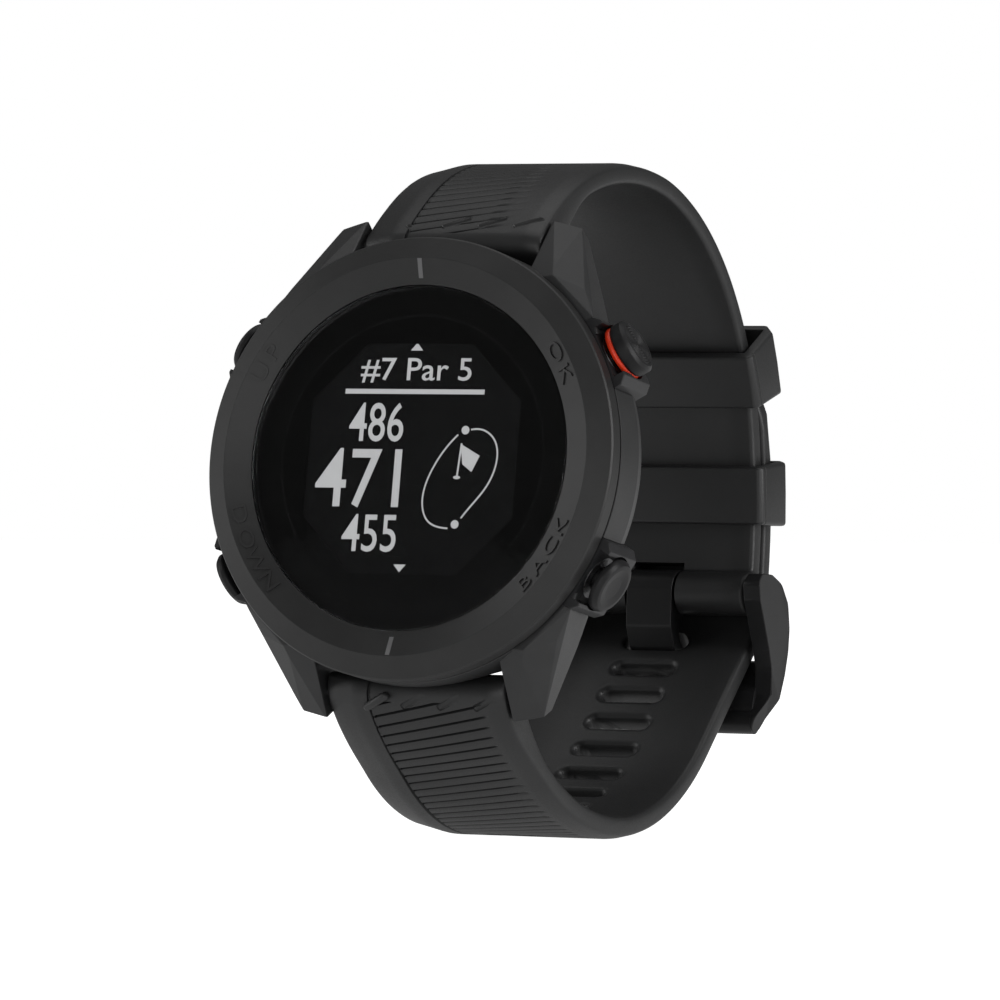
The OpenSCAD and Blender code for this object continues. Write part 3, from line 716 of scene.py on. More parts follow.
class WATCH_OT_dial(bpy.types.Operator):
    """Lens glass, and the figures and hole drawing that the display shows"""

    bl_idname = "watch.dial"
    bl_label = "Lens and display"

    def execute(self, context):
        outline = rounded([(0, GLASS_Y, 0), (LENS_R, GLASS_Y, 0.18), (LENS_R, GLASS_Y + 1.2, 0.05),
                           (0, GLASS_Y + 1.2, 0)], 0)
        put("lens_glass_disc", turned(outline, 192), "watch", "lens_glass", ["lens"], sharp=60, even=True)
        under = GLASS_Y + 1.201
        border = [(13.1, under), (LENS_R, under), (LENS_R, under + 0.03), (13.1, under + 0.03)]
        put("lens_print", turned(border, 192), "watch", "black_print", sharp=60)
        for i, (text, x, z, height, width) in enumerate(NUMBERS):
            part = letter(text, height, 0.02, 0.007 * height)
            xs, ys = [v.co.x for v in part.verts], [v.co.y for v in part.verts]
            wide, tall = width / (max(xs) - min(xs)), height / (max(ys) - min(ys))
            part.transform(Matrix.Diagonal((1, tall, 1, 1)))
            put("figures_%d" % i, on_screen(part, x, z, wide), "watch", "figures")
        shapes = bmesh.new()
        for z, up in ((11.1, 1), (-10.75, -1)):
            triangle = [(-0.66, -0.38 * up), (0.66, -0.38 * up), (0, 0.38 * up)]
            add(shapes, on_screen(flat_shape(triangle), -0.45, z))
        rule = [(-7.55, -0.24), (7.55, -0.24), (7.55, 0.24), (-7.55, 0.24)]
        add(shapes, on_screen(flat_shape(rule), -0.33, 6.66))
        put("figures_rule", shapes, "watch", "figures")
        drawing = bmesh.new()
        for points in FAIRWAY:
            add(drawing, on_screen(drawn_line(points, 0.17), 0, 0))
        for x, z in ((5.5, 2.9), (5.15, -6.35)):
            dot = flat_shape(arc_points(Vector((0, 0)), 0.42, 0, 345, 23))
            add(drawing, on_screen(dot, x, z))
        flag = [(5.1, 1.55), (7.25, 0.4), (6.5, -1.2), (5.45, -0.45)]
        add(drawing, on_screen(flat_shape(flag), 0, 0))
        pole = [(5.12, 1.6), (5.3, 1.6), (5.05, -1.75), (4.87, -1.75)]
        add(drawing, on_screen(flat_shape(pole), 0, 0))
        cup = [(p[0], p[1] * 0.45) for p in arc_points(Vector((0, 0)), 0.38, 0, 345, 23)]
        add(drawing, on_screen(flat_shape(cup), 4.95, -1.75))
        put("figures_hole", drawing, "watch", "figures")
        return {"FINISHED"}


# ---- Buttons ----


def at_button(degrees):
    """A button's own place: z runs out along its axis, and x along the dial's axis."""
    return (Matrix.Translation((0, BUTTON_Y, 0))
            @ Matrix.Rotation(math.radians(90 - degrees), 4, "Y")
            @ Matrix.Rotation(math.radians(90), 4, "Z"))


def stem_outline():
    """The stem of a button with its neck for the clip, from its inner end outwards."""
    return [(0, STEM_END_R, 0), (STEM_R, STEM_END_R, 0.1), (STEM_R, 15.95, 0), (0.7, 15.95, 0),
            (0.7, 16.3, 0), (STEM_R, 16.3, 0), (STEM_R, CAP_BACK_R, 0)]


def ringed_cap():
    """The start button: fine rings turned into its face."""
    outline = stem_outline() + [
        (CAP_R - 0.15, CAP_BACK_R, 0.08), (CAP_R, CAP_BACK_R + 0.2, 0.1), (CAP_R, OK_FACE_R - 0.35, 0.15),
        (CAP_R - 0.4, OK_FACE_R, 0.12), (CAP_R - 0.62, OK_FACE_R, 0.03), (CAP_R - 0.66, OK_FACE_R - 0.1, 0.02)]
    r = CAP_R - 0.72
    while r > 0.3:
        outline += [(r, OK_FACE_R - 0.09, 0.02), (r - 0.06, OK_FACE_R - 0.02, 0.02),
                    (r - 0.16, OK_FACE_R - 0.02, 0.02), (r - 0.22, OK_FACE_R - 0.09, 0.02)]
        r -= 0.3
    return outline + [(0, OK_FACE_R - 0.09, 0)]


def dished_cap():
    """A plain button: a shallow dish inside a soft rim, behind a turned groove."""
    return stem_outline() + [
        (CAP_R - 0.15, CAP_BACK_R, 0.06), (CAP_R, CAP_BACK_R + 0.15, 0.1), (CAP_R, CAP_FACE_R - 0.45, 0.25),
        (CAP_R - 0.3, CAP_FACE_R - 0.04, 0.2), (CAP_R - 0.75, CAP_FACE_R, 0.25), (1.2, CAP_FACE_R - 0.14, 0.6),
        (0, CAP_FACE_R - 0.18, 0)]


class WATCH_OT_buttons(bpy.types.Operator):
    """Four button caps on their stems, and the coloured ring of the start button"""

    bl_idname = "watch.buttons"
    bl_label = "Buttons"

    def execute(self, context):
        for name, degrees in BUTTON_ANGLES.items():
            outline = ringed_cap() if name == "ok" else dished_cap()
            cap = turned(rounded(outline, 0), 72, at_button(degrees))
            put(name + "_cap", cap, name + "_button_body", "button_metal", [name + "_button"], sharp=40)
        ring = rounded([(STEM_R, CAP_BACK_R - 0.55, 0), (CAP_R - 0.12, CAP_BACK_R - 0.55, 0.12),
                        (CAP_R - 0.02, CAP_BACK_R - 0.28, 0.2), (CAP_R - 0.12, CAP_BACK_R, 0.1),
                        (STEM_R, CAP_BACK_R, 0)], 0)
        put("ok_start_ring", turned(ring, 72, at_button(BUTTON_ANGLES["ok"])), "ok_button_body",
            "start_ring", ["ok_button_ring"], sharp=45)
        return {"FINISHED"}


def guard(degrees):
    """The raised block round a button, with its corners cut and a sinking for the cap."""
    bm = box((-2.9, -3.8, 20.6), (3.1, 3.8, 23.05))
    lid = [e for e in bm.edges if abs(e.verts[0].co.y - e.verts[1].co.y) < 1e-6
           and abs(e.verts[0].co.z - e.verts[1].co.z) < 1e-6 and e.verts[0].co.z > 23]
    bmesh.ops.bevel(bm, geom=lid, offset=0.75, offset_type="OFFSET", segments=1, profile=0.5,
                    affect="EDGES", material=-1, clamp_overlap=True)
    along = Matrix.Identity(4)
    sink = turned([(0, SINK_R), (CAP_R + 0.2, SINK_R), (CAP_R + 0.2, 26), (0, 26)], 64, along)
    bore = turned([(0, 18), (STEM_R + 0.05, 18), (STEM_R + 0.05, 24), (0, 24)], 32, along)
    soften(bm, 0.14, 25)
    front = box((-4, -2.7, SINK_R), (0, 2.7, 26))
    bm = carve(bm, sink, front, bore)
    bm.transform(at_button(degrees))
    return bm


class WATCH_OT_guards(bpy.types.Operator):
    """The four button guards"""

    bl_idname = "watch.guards"
    bl_label = "Button guards"

    def execute(self, context):
        for name, degrees in BUTTON_ANGLES.items():
            put(name + "_guard_block", guard(degrees), "watch", "guard_polymer",
                [name + "_button_guard"], even=True)
        return {"FINISHED"}


# ---- Straps ----


def turn_of(centre, point):
    """The angle of a [Y, Z] point round a centre."""
    return math.atan2(point.y - centre.y, point.x - centre.x)


def ease(t):
    """A smooth step from 0 to 1."""
    t = min(1, max(0, t))
    return t * t * (3 - 2 * t)


def arc_run(centre, start, end, radii):
    """A stretch of strap round a centre. radii(turn) gives its inner and outer radius."""
    def at(t):
        turn = start + (end - start) * t
        inner, outer = radii(turn)
        out = Vector((math.cos(turn), math.sin(turn)))
        return centre + out * (inner + outer) / 2, out, (outer - inner) / 2
    return abs(end - start) * sum(radii((start + end) / 2)) / 2, at


def line_run(start, direction, length, inner_to_mid):
    """A straight stretch of strap."""
    out = Vector((direction.y, -direction.x))
    return length, lambda t: (start + direction * length * t + out * inner_to_mid, out, inner_to_mid)


def walk(runs, s):
    """The mid-line point, outward direction and half thickness of a strap after a length s."""
    for length, at in runs:
        if s <= length or at is runs[-1][1]:
            return at(min(1, s / length))
        s -= length


JOIN = turn_of(BACK_C, TOP_C)
UPPER_START = turn_of(TOP_C, UPPER_BAR)
LOWER_START = turn_of(LOW_C, LOWER_BAR)
LINE_TURN = turn_of(LOW_C, CORNER_C) - math.acos((LOW_IN_R - CORNER_R) / (CORNER_C - LOW_C).length)
LINE_L = math.sqrt((CORNER_C - LOW_C).length_squared - (LOW_IN_R - CORNER_R) ** 2)


def bar_swell(centre, bar, inner, outer):
    """Radii of a strap that thickens to its roll round a spring bar."""
    start, middle = turn_of(centre, bar), (bar - centre).length

    def radii(turn):
        share = ease(abs(turn - start) / SWELL)
        return (middle - BAR_ROLL_R + (inner - middle + BAR_ROLL_R) * share,
                middle + BAR_ROLL_R + (outer(turn) - middle - BAR_ROLL_R) * share)
    return radii


def upper_runs():
    """The upper strap: from its spring bar over the wrist to its roll round the buckle bar."""
    def outer(turn):
        share = ease((JOIN + math.radians(30) - turn) / math.radians(30))
        return TOP_IN_R + UPPER_T + (UPPER_BACK_T - UPPER_T) * share

    roll_turn, roll_mid = turn_of(BACK_C, ROLL_C), (ROLL_C - BACK_C).length

    def roll(turn):
        past = (turn - roll_turn) * roll_mid
        reach = math.sqrt(max(0, ROLL_R ** 2 - past ** 2))
        if past > 0:
            return min(BACK_IN_R, roll_mid - reach), max(BACK_IN_R + UPPER_BACK_T, roll_mid + reach)
        return roll_mid - reach, roll_mid + reach

    bar_r = (UPPER_BAR - TOP_C).length
    return [arc_run(TOP_C, UPPER_START + BAR_ROLL_R / bar_r, JOIN, bar_swell(TOP_C, UPPER_BAR, TOP_IN_R, outer)),
            arc_run(BACK_C, JOIN, roll_turn - (ROLL_R - 0.05) / roll_mid, roll)]


def lower_runs():
    """The lower strap: from its spring bar under the wrist, up behind it and into the first keeper."""
    bar_r = (LOWER_BAR - LOW_C).length
    line_from = LOW_C + Vector((math.cos(LINE_TURN), math.sin(LINE_TURN))) * LOW_IN_R
    along = Vector((-math.sin(LINE_TURN), math.cos(LINE_TURN)))
    lift = BACK_IN_R - TOP_IN_R
    return [
        arc_run(LOW_C, LOWER_START - BAR_ROLL_R / bar_r, LINE_TURN,
                bar_swell(LOW_C, LOWER_BAR, LOW_IN_R, lambda turn: LOW_IN_R + LOWER_T)),
        line_run(line_from, along, LINE_L, LOWER_T / 2),
        arc_run(CORNER_C, LINE_TURN, 0, lambda turn: (CORNER_R, CORNER_R + LOWER_T)),
        arc_run(BACK_C, 0, JOIN, lambda turn: (TAIL_IN_R, TAIL_IN_R + TAIL_T)),
        arc_run(TOP_C, JOIN, TAIL_END, lambda turn: (TAIL_IN_R - lift, TAIL_IN_R - lift + TAIL_T))]


def slot_distance(k, first_length):
    """Place of the kth adjustment slot along the lower strap, whose first run has that length."""
    s = LINE_L - 0.35 - k * SLOT_PITCH
    if s >= 0:
        return first_length + s
    return first_length * (1 + s / LOW_IN_R / (LINE_TURN - LOWER_START))


def half_width(y):
    """Half the strap's width: narrow between the lugs, full behind them."""
    share = min(1, max(0, y / 22))
    return (STRAP_LUG_W + (STRAP_W - STRAP_LUG_W) * share) / 2


# A strap's section, as (share of the half width, millimetres inwards from the edge, level, is on the
# ribbed face): the outer face runs left to right with a cut left shoulder, the inner face runs back.
SHOULDER = [(-1, 0, -1.25), (-1, 0.05, -1.0), (-1, 0.16, -0.84), (-1, 0.4, -0.7), (-1, 1.6, -0.42),
            (-1, 2.9, -0.1), (-1, 3.3, -0.02), (-1, 3.8, 0), (-1, 4.5, 0)]
GROOVE_IN = 4.95
GROOVE = [(-1, GROOVE_IN - 0.2, 0), (-1, GROOVE_IN - 0.1, -0.7), (-1, GROOVE_IN, -1.0),
          (-1, GROOVE_IN + 0.1, -0.7), (-1, GROOVE_IN + 0.2, 0)]
RIGHT_EDGE = [(1, 2.3, 0), (1, 1.9, 0), (1, 1.5, -0.03), (1, 0.5, -0.26), (1, 0.2, -0.38), (1, 0.06, -0.52),
              (1, 0, -0.75)]
INNER_EDGE = [(0, 0.5), (0.07, 0.26), (0.24, 0.08), (0.5, 0)]
PANEL_END = 2.3


def strap_section(middles):
    """The columns of a strap: (kind, side, inset or share, level)."""
    columns = [("edge", side, inset, level) for side, inset, level in SHOULDER]
    columns += [("groove", side, inset, level) for side, inset, level in GROOVE]
    columns += [("panel", 0, x, 0) for x in middles]
    columns += [("edge", side, inset, level) for side, inset, level in RIGHT_EDGE]
    columns += [("inner", 1, inset, level) for inset, level in INNER_EDGE]
    columns += [("inner", 0, x, 0) for x in reversed(middles)]
    columns += [("inner", -1, inset, level) for inset, level in reversed(INNER_EDGE)]
    return columns


def strap_rows(length, first, last, cap):
    """Rows of a strap as (distance, share of the rib depth, is slanted)."""
    pitch = sizes("rib_pitch")
    rows = [(cap * (1 - math.cos(math.radians(a))), 0, False) for a in (20, 30, 42, 54, 66, 78)]
    s, middle = first, (pitch * 0.32, pitch * 0.55, pitch * 0.78)
    while s < last:
        rows += [(s - pitch * 0.12, 0, True), (s - pitch * 0.04, 1, True), (s + pitch * 0.02, 1, True),
                 (s + pitch * 0.12, 0.12, True)]
        rows += [(s + step, 0, True) for step in middle]
        s += pitch
    return rows


def strap(runs, middles, rib_from, rib_to, fade, slots=(), tail=True, ends=()):
    """A whole strap: its ribbed outer face, smooth inner face and softened slots."""
    length = sum(run[0] for run in runs)
    slant, pitch = math.tan(bpy.context.scene.watch_sizes.rib_slant), sizes("rib_pitch")
    depth, border, lip = sizes("rib_depth"), sizes("border_groove"), sizes("slot_lip")
    rows = strap_rows(length, rib_from, rib_to, BAR_ROLL_R)
    hidden_end = rows[5][0] + 0.05
    rows += [(s, 0, False) for s in ends]
    half_slot = (SLOT_L - SLOT_W) / 2
    panel_start, panel_end = STRAP_W / 2 - GROOVE_IN, STRAP_W / 2 - PANEL_END

    def slot_gap(x, s):
        """Distance outside the nearest slot's edge."""
        gap = 9.0
        for place in slots:
            if abs(s - place) < 3:
                reach = math.hypot(max(0, abs(x) - half_slot), s - place)
                gap = min(gap, reach - SLOT_W / 2)
        return gap

    def place(row, column):
        s, rib, slanted = row
        kind, side, inset, level = column
        x_full = side * (STRAP_W / 2 - inset) if side else inset
        outer = kind != "inner"
        if outer and slanted:
            shifted = s - slant * max(0, panel_end - x_full if tail is False else x_full + panel_start)
            if shifted < hidden_end:
                shifted, rib = hidden_end, 0
            s = shifted
        s = min(s, length)
        middle, out, half = walk(runs, s)
        if s < BAR_ROLL_R:
            half = min(half, math.sqrt(max(0.01, BAR_ROLL_R ** 2 - (BAR_ROLL_R - s) ** 2)))
        if tail and length - s < TAIL_T / 2:
            left = TAIL_T / 2 - (length - s)
            half = min(half, math.sqrt(max(0.04, (TAIL_T / 2) ** 2 - left ** 2)))
        wide = half_width(middle.x)
        if tail:
            wide -= 3.2 * (1 - math.sqrt(max(0, 1 - max(0, 1 - (length - s) / 5) ** 2)))
        x = side * (wide - inset) if side else inset * wide / (STRAP_W / 2)
        scale = min(1, half / 1.1)
        gap = slot_gap(x, s)
        drop = 0.0
        if gap < lip:
            drop = lip - math.sqrt(max(0, lip ** 2 - (lip - max(0, gap)) ** 2))
        if kind == "inner":
            return Vector((x, *(middle + out * (-half + level * scale + drop * 0.9))))
        if kind == "groove":
            level *= border
        elif kind == "panel":
            shown = ease((fade[1] - x) / (fade[1] - fade[0])) * ease(gap / 0.5)
            level = -depth * rib * shown
        return Vector((x, *(middle + out * (half + level * scale - drop * 0.9))))

    return skin(rows, strap_section(middles), place)


DASH_R, DASH_PITCH, DASH_SLANT = 0.42, 3.9, math.radians(30)


def slot_cutter(runs, s, width):
    """A long hole with round ends, straight through a strap."""
    middle, out, half = walk(runs, s)
    half_slot = (SLOT_L - width) / 2
    outline = (arc_points(Vector((half_slot, 0)), width / 2, -90, 90, 12)
               + arc_points(Vector((-half_slot, 0)), width / 2, 90, 270, 12))
    bm = flat_shape(outline, 8)
    along = Vector((-out.y, out.x))
    turn = Matrix(((1, 0, 0, 0), (0, along.x, out.x, middle.x), (0, along.y, out.y, middle.y), (0, 0, 0, 1)))
    bm.transform(turn)
    return clean(bm)


def dash_cutters(runs, s):
    """Four short slanted grooves across a strap's thick end."""
    middle, out, half = walk(runs, s)
    along, rise = Vector((-out.y, out.x)), out * (half + DASH_R * 0.35)
    place = Matrix(((1, 0, 0, 0), (0, along.x, out.x, middle.x + rise.x),
                    (0, along.y, out.y, middle.y + rise.y), (0, 0, 0, 1)))
    bars = bmesh.new()
    for k in range(4):
        turn = Matrix.Rotation(-DASH_SLANT, 4, "Z")
        shift = Matrix.Translation(((k - 1.5) * DASH_PITCH + 1.9, 0, 0))
        add(bars, rod(Vector((0, 0)), DASH_R, -1.6, 1.6, 0.25, 20), place @ shift @ turn)
    return clean(bars)


def bar_cutters(bar):
    """Room in a strap for its spring bar and the bar's release lever."""
    lever = box((LEVER_X - 1.8, bar.x, bar.y - 0.6), (LEVER_X + 0.5, bar.x + 6, bar.y + 0.6))
    return rod(bar, 0.95, -15, 15, sides=32), lever


def even_steps(low, high, count):
    return [low + (high - low) * k / count for k in range(count + 1)]


class WATCH_OT_straps(bpy.types.Operator):
    """Upper and lower silicone straps"""

    bl_idname = "watch.straps"
    bl_label = "Straps"

    def execute(self, context):
        panel = (-STRAP_W / 2 + GROOVE_IN + 0.4, STRAP_W / 2 - PANEL_END - 0.6)
        runs = upper_runs()
        length = sum(run[0] for run in runs)
        ends = [length - ROLL_R - 2.8 + step for step in (
            0, 0.3, 0.5, 0.56, 0.7, 0.95, 1.3, 1.7, 2.2, 2.8, 3.4, 3.9, 4.3, 4.6, 4.8, 4.95, 5.05)]
        bm = strap(runs, even_steps(*panel, 16), 2.3, length - 7, (1.5, 6.0), tail=False, ends=ends)
        notch = box((-TONGUE_W / 2 - 0.3, ROLL_C.x - 4, ROLL_C.y - 4),
                    (TONGUE_W / 2 + 0.3, ROLL_C.x + 4, ROLL_C.y + 3.1))
        bm = carve(bm, notch, dash_cutters(runs, 3.4), *bar_cutters(UPPER_BAR))
        put("strap_upper", bm, "watch", "strap_silicone", ["upper_strap"], sharp=50)

        runs = lower_runs()
        length = sum(run[0] for run in runs)
        slots = [slot_distance(k, runs[0][0]) for k in range(SLOT_COUNT)]
        ends_of_slots = even_steps(2.2, 4.4, 11)
        middles = ([panel[0]] + [-x for x in reversed(ends_of_slots)] + [-1.1, 0, 1.1] + ends_of_slots
                   + [5.4, 6.6, panel[1]])
        ends = [length - step for step in (3.5, 2.6, 2.0, 1.5, 1.1, 0.8, 0.5, 0.25, 0.08)]
        bm = strap(runs, middles, 2.3, length - 5, (7.2, 8.0), slots, True, ends)
        holes = bmesh.new()
        for s in slots:
            add(holes, slot_cutter(runs, s, PIN_SLOT_W if s == slots[0] else SLOT_W))
        bm = carve(bm, holes, dash_cutters(runs, 1.6), *bar_cutters(LOWER_BAR))
        put("strap_lower", bm, "watch", "strap_silicone", ["lower_strap"], sharp=50)
        return {"FINISHED"}


# ---- Keepers ----


def keeper(centre, inner_r, outer_r, start, width=KEEPER_W):
    """A closed band round both straps, with cut outer corners and a moulded line on its sides."""
    half = STRAP_W / 2
    right = [(inner_r - KEEPER_T, half + 1.05, 0.5), (inner_r - KEEPER_T + 0.5, half + 1.5, 0.3),
             (inner_r - KEEPER_T + 0.95, half + 1.5, 0.08), (inner_r - KEEPER_T + 1.07, half + 1.32, 0.03),
             (inner_r - KEEPER_T + 1.19, half + 1.5, 0.08),
             (outer_r - 0.5, half + 1.5, 0.4), (outer_r + KEEPER_T, half + 0.2, 0.6)]
    corners = right + [(r, -x, own) for r, x, own in reversed(right)]
    loop = rounded(corners, 0.3)
    radius = width / (inner_r + 2)
    round_in, round_out = 0.12, 0.38
    band = rounded([(0, 0, round_in), (1, 0, round_out), (1, width * 0.5, 0), (1, width, round_out),
                    (0, width, round_in), (0, width * 0.5, 0)], 0, 4)
    stations = [(p.x if p.x in (0, 1) else p.x, p.y) for p in band]

    def place(row, column):
        inside = Vector((min(outer_r, max(inner_r, row.x)), min(half + 0.3, max(-half - 0.3, row.y))))
        share, a = column
        point = inside.lerp(row, share)
        turn = start + a / width * radius
        y, z = centre + Vector((math.cos(turn), math.sin(turn))) * point.x
        return Vector((point.y, y, z))

    return skin(loop, stations, place, closed_rows=True)


class WATCH_OT_keepers(bpy.types.Operator):
    """The two keepers that hold the strap's tail"""

    bl_idname = "watch.keepers"
    bl_label = "Keepers"

    def execute(self, context):
        wrap = UPPER_BACK_T + 0.3 + TAIL_T + 0.3
        first = keeper(TOP_C, TOP_IN_R - 0.3, TOP_IN_R + wrap, math.radians(24.5))
        put("keeper_first", first, "first_keeper", "strap_silicone", ["keeper_1"], sharp=40)
        second = keeper(BACK_C, BACK_IN_R - 0.3, BACK_IN_R + wrap, math.radians(7.7))
        put("keeper_second", second, "second_keeper", "strap_silicone", ["keeper_2"], sharp=40)
        return {"FINISHED"}


# ---- Buckle ----

ARM_OUTLINE = [
    (46, -3.6, 0.7), (47.2, -2.5, 0.8), (49.9, -2.2, 1.5), (52.1, -2.8, 1.5), (53.7, -4.8, 2), (54.5, -7.2, 3),
    (54.6, -9.6, 3), (54.2, -12, 3), (53.4, -15, 3), (52.32, -16.95, 1.0), (52.0, -18.3, 1.0),
    (51.1, -18.7, 1.0), (49.98, -18.05, 1.0), (49.84, -17.06, 1.0), (51, -15, 1.5), (50.7, -12, 2.5),
    (49.7, -10.1, 2), (47.9, -7.4, 2), (46.5, -5.4, 1)]


WEB_X = 3.6
WEB_OUTLINE = [(50.2, -16.6), (50.6, -14.2), (51.9, -12.6), (52.9, -11), (53.9, -10.6), (54, -12),
               (53.4, -14.5), (52.3, -16.6)]


def buckle_arm(side):
    """One arm of the buckle: its outer face falls away towards both ends."""
    bm = prism(rounded(ARM_OUTLINE, 1.0), ARM_X[0], ARM_X[1])
    for v in bm.verts:
        if v.co.x > ARM_X[0] + 0.1:
            top = 0.8 * max(0, 1 - (-v.co.z) / 4)
            low = 1.8 * max(0, (-v.co.z - 14.5) / 4.3)
            v.co.x -= top + low
    rim = [e for e in bm.edges if len(e.link_faces) == 2 and e.calc_face_angle() > math.radians(50)]
    bmesh.ops.bevel(bm, geom=rim, offset=0.3, offset_type="OFFSET", segments=3, profile=0.5,
                    affect="EDGES", material=-1, clamp_overlap=True)
    if side < 0:
        bm.transform(Matrix.Diagonal((-1, 1, 1, 1)))
        bmesh.ops.recalc_face_normals(bm, faces=bm.faces)
    return bm


def tongue():
    """The tongue, in one with its wrap round the buckle bar."""
    wrap = arc_points(ROLL_C, ROLL_R + 0.05, 180, -55, 28)
    blade = [(49.85, -8.55, 0.8), (52.4, -10.75, 0.8), (53.5, -12.2, 1), (53.9, -14, 1), (53.9, -17.6, 0.6),
             (53.2, -18.8, 0.3), (52.55, -17.8, 0.5), (52.4, -13.6, 1), (51.7, -12.35, 0.8),
             (49.1, -10.15, 0.8), (47.8, -8.1, 1)]
    outline = rounded([(p.x, p.y, 0) for p in wrap] + blade, 0)
    return prism(outline, -TONGUE_W / 2, TONGUE_W / 2, 0.3, 3)


class WATCH_OT_buckle(bpy.types.Operator):
    """Buckle frame and tongue"""

    bl_idname = "watch.buckle"
    bl_label = "Buckle"

    def execute(self, context):
        bm = bmesh.new()
        for side in (1, -1):
            add(bm, buckle_arm(side))
            web = prism(rounded(WEB_OUTLINE, 0.5), WEB_X, ARM_X[0] + 0.2, 0.25)
            add(bm, web, Matrix.Diagonal((side, 1, 1, 1)))
        bmesh.ops.recalc_face_normals(bm, faces=bm.faces)
        add(bm, rod(FAR_BAR, FAR_BAR_R, -ARM_X[0] - 0.2, ARM_X[0] + 0.2))
        put("buckle_arms", bm, "buckle", "buckle_metal", ["buckle_frame"], sharp=40, even=True)
        put("tongue_blade", tongue(), "tongue", "buckle_metal", ["buckle_tongue"], sharp=40, even=True)
        return {"FINISHED"}


# ---- CAD nodes that stay ----


class WATCH_OT_inner_parts(bpy.types.Operator):
    """Finishes of the inner and small parts that keep their CAD shape"""

    bl_idname = "watch.inner_parts"
    bl_label = "Inner and small parts"

    def execute(self, context):
        for row in frame["record"]["subparts"]:
            piece = frame["nodes"][row["node"]]
            if piece.hide_render:
                continue
            piece.data.materials.clear()
            piece.data.materials.append(finish(row["material_slot"]))
        return {"FINISHED"}


# ---- Studio ----

CAMERA_PLACE = Vector((0.334618, -0.681543, 0.012561))


def area_light(name, place, aim, size, power):
    """A soft box that faces a point."""
    light = bpy.data.lights.new(name, "AREA")
    light.shape = "RECTANGLE"
    light.size, light.size_y = size
    light.energy = power
    lamp = bpy.data.objects.new(name, light)
    lamp.location = place
    lamp.rotation_euler = (Vector(aim) - Vector(place)).to_track_quat("-Z", "Y").to_euler()
    bpy.context.scene.collection.objects.link(lamp)


def white_surround(strength):
    """White behind the watch, and an even soft grey that lights it."""
    world = bpy.data.worlds.new("studio")
    bpy.context.scene.world = world
    world.use_nodes = True
    tree = world.node_tree
    tree.nodes.clear()
    seen = node_of(tree, "ShaderNodeBackground", Color=(1, 1, 1, 1), Strength=1.0)
    lit = node_of(tree, "ShaderNodeBackground", Color=(1, 1, 1, 1), Strength=strength)
    path = tree.nodes.new("ShaderNodeLightPath")
    mix = tree.nodes.new("ShaderNodeMixShader")
    out = tree.nodes.new("ShaderNodeOutputWorld")
    tree.links.new(path.outputs["Is Camera Ray"], mix.inputs["Fac"])
    tree.links.new(lit.outputs["Background"], mix.inputs[1])
    tree.links.new(seen.outputs["Background"], mix.inputs[2])
    tree.links.new(mix.outputs["Shader"], out.inputs["Surface"])


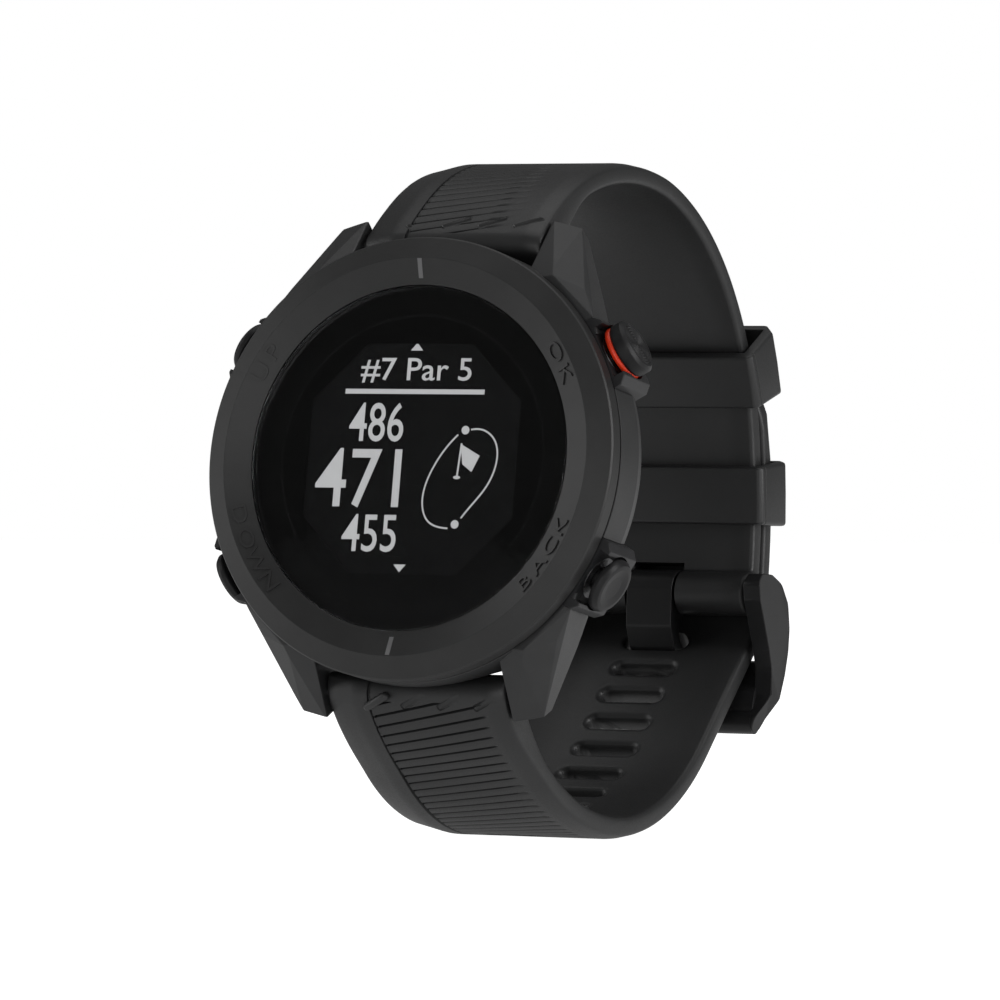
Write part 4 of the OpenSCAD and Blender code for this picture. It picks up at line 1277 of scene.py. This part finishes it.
class WATCH_OT_studio(bpy.types.Operator):
    """Pale floor, soft lights and camera"""

    bl_idname = "watch.studio"
    bl_label = "Studio"

    def execute(self, context):
        studio = context.scene.watch_studio
        camera = bpy.data.cameras.new("camera")
        camera.lens, camera.sensor_width = studio.lens, 36
        camera.clip_start, camera.clip_end = 0.01, 20
        stand = bpy.data.objects.new("camera", camera)
        stand.matrix_world = (Matrix.Translation(CAMERA_PLACE) @ Matrix.Rotation(studio.azimuth, 4, "Z")
                              @ Matrix.Rotation(math.pi / 2 - studio.elevation, 4, "X")
                              @ Matrix.Rotation(studio.roll, 4, "Z"))
        context.scene.collection.objects.link(stand)
        context.scene.camera = stand
        context.scene.view_settings.view_transform = "Standard"

        bm = bmesh.new()
        bmesh.ops.create_circle(bm, cap_ends=True, segments=128, radius=1.2)
        bmesh.ops.translate(bm, verts=bm.verts, vec=(0, 0, CAD_BOX[0].z - 0.0003))
        floor = plain_object(bm, "floor")
        material = surface("floor", context.scene.watch_finishes.floor, 0.7, grain=2.0, depth=0.002,
                           mottle=200.0, shade=0.01)
        tree = material.node_tree
        shader = tree.nodes["Principled BSDF"]
        shader.inputs["Emission Color"].default_value = (1, 1, 1, 1)
        seen = node_of(tree, "ShaderNodeMapRange", To_Min=0.36, To_Max=1.0)
        tree.links.new(tree.nodes.new("ShaderNodeLightPath").outputs["Is Camera Ray"], seen.inputs["Value"])
        tree.links.new(seen.outputs["Result"], shader.inputs["Emission Strength"])
        floor.data.materials.append(material)

        middle = (0, 0.02, 0)
        area_light("left light", (-0.79, -0.32, 0.15), middle, (0.35, 0.9), studio.side_light * 0.6)
        area_light("right light", (0.90, 0.02, 0.16), middle, (0.35, 0.9), studio.side_light * 1.7)
        area_light("top light", (0, 0.1, 0.9), middle, (0.9, 0.7), studio.top_light)
        area_light("front light", (0.20, -0.98, 0.15), middle, (0.4, 0.5), studio.front_light)
        white_surround(studio.surround)
        return {"FINISHED"}


# ---- Panel and running ----

OPERATORS = (WATCH_OT_case, WATCH_OT_bezel, WATCH_OT_dial, WATCH_OT_buttons, WATCH_OT_guards,
             WATCH_OT_straps, WATCH_OT_keepers, WATCH_OT_buckle, WATCH_OT_inner_parts, WATCH_OT_studio)


class WATCH_PT_pieces(bpy.types.Panel):
    """Lists the steps that build the watch"""

    bl_label = "Golf Watch"
    bl_idname = "WATCH_PT_pieces"
    bl_space_type = "VIEW_3D"
    bl_region_type = "UI"
    bl_category = "Watch"

    def draw(self, context):
        for operator in OPERATORS:
            self.layout.operator(operator.bl_idname)


CLASSES = (WatchSizes, WatchFinishes, WatchStudio, *OPERATORS, WATCH_PT_pieces)


def register():
    for item in CLASSES:
        bpy.utils.register_class(item)
    bpy.types.Scene.watch_sizes = PointerProperty(type=WatchSizes)
    bpy.types.Scene.watch_finishes = PointerProperty(type=WatchFinishes)
    bpy.types.Scene.watch_studio = PointerProperty(type=WatchStudio)


def unregister():
    del bpy.types.Scene.watch_studio
    del bpy.types.Scene.watch_finishes
    del bpy.types.Scene.watch_sizes
    for item in reversed(CLASSES):
        bpy.utils.unregister_class(item)


def main():
    register()
    for operator in OPERATORS:
        family, name = operator.bl_idname.split(".")
        getattr(getattr(bpy.ops, family), name)()


if __name__ == "__main__":
    main()
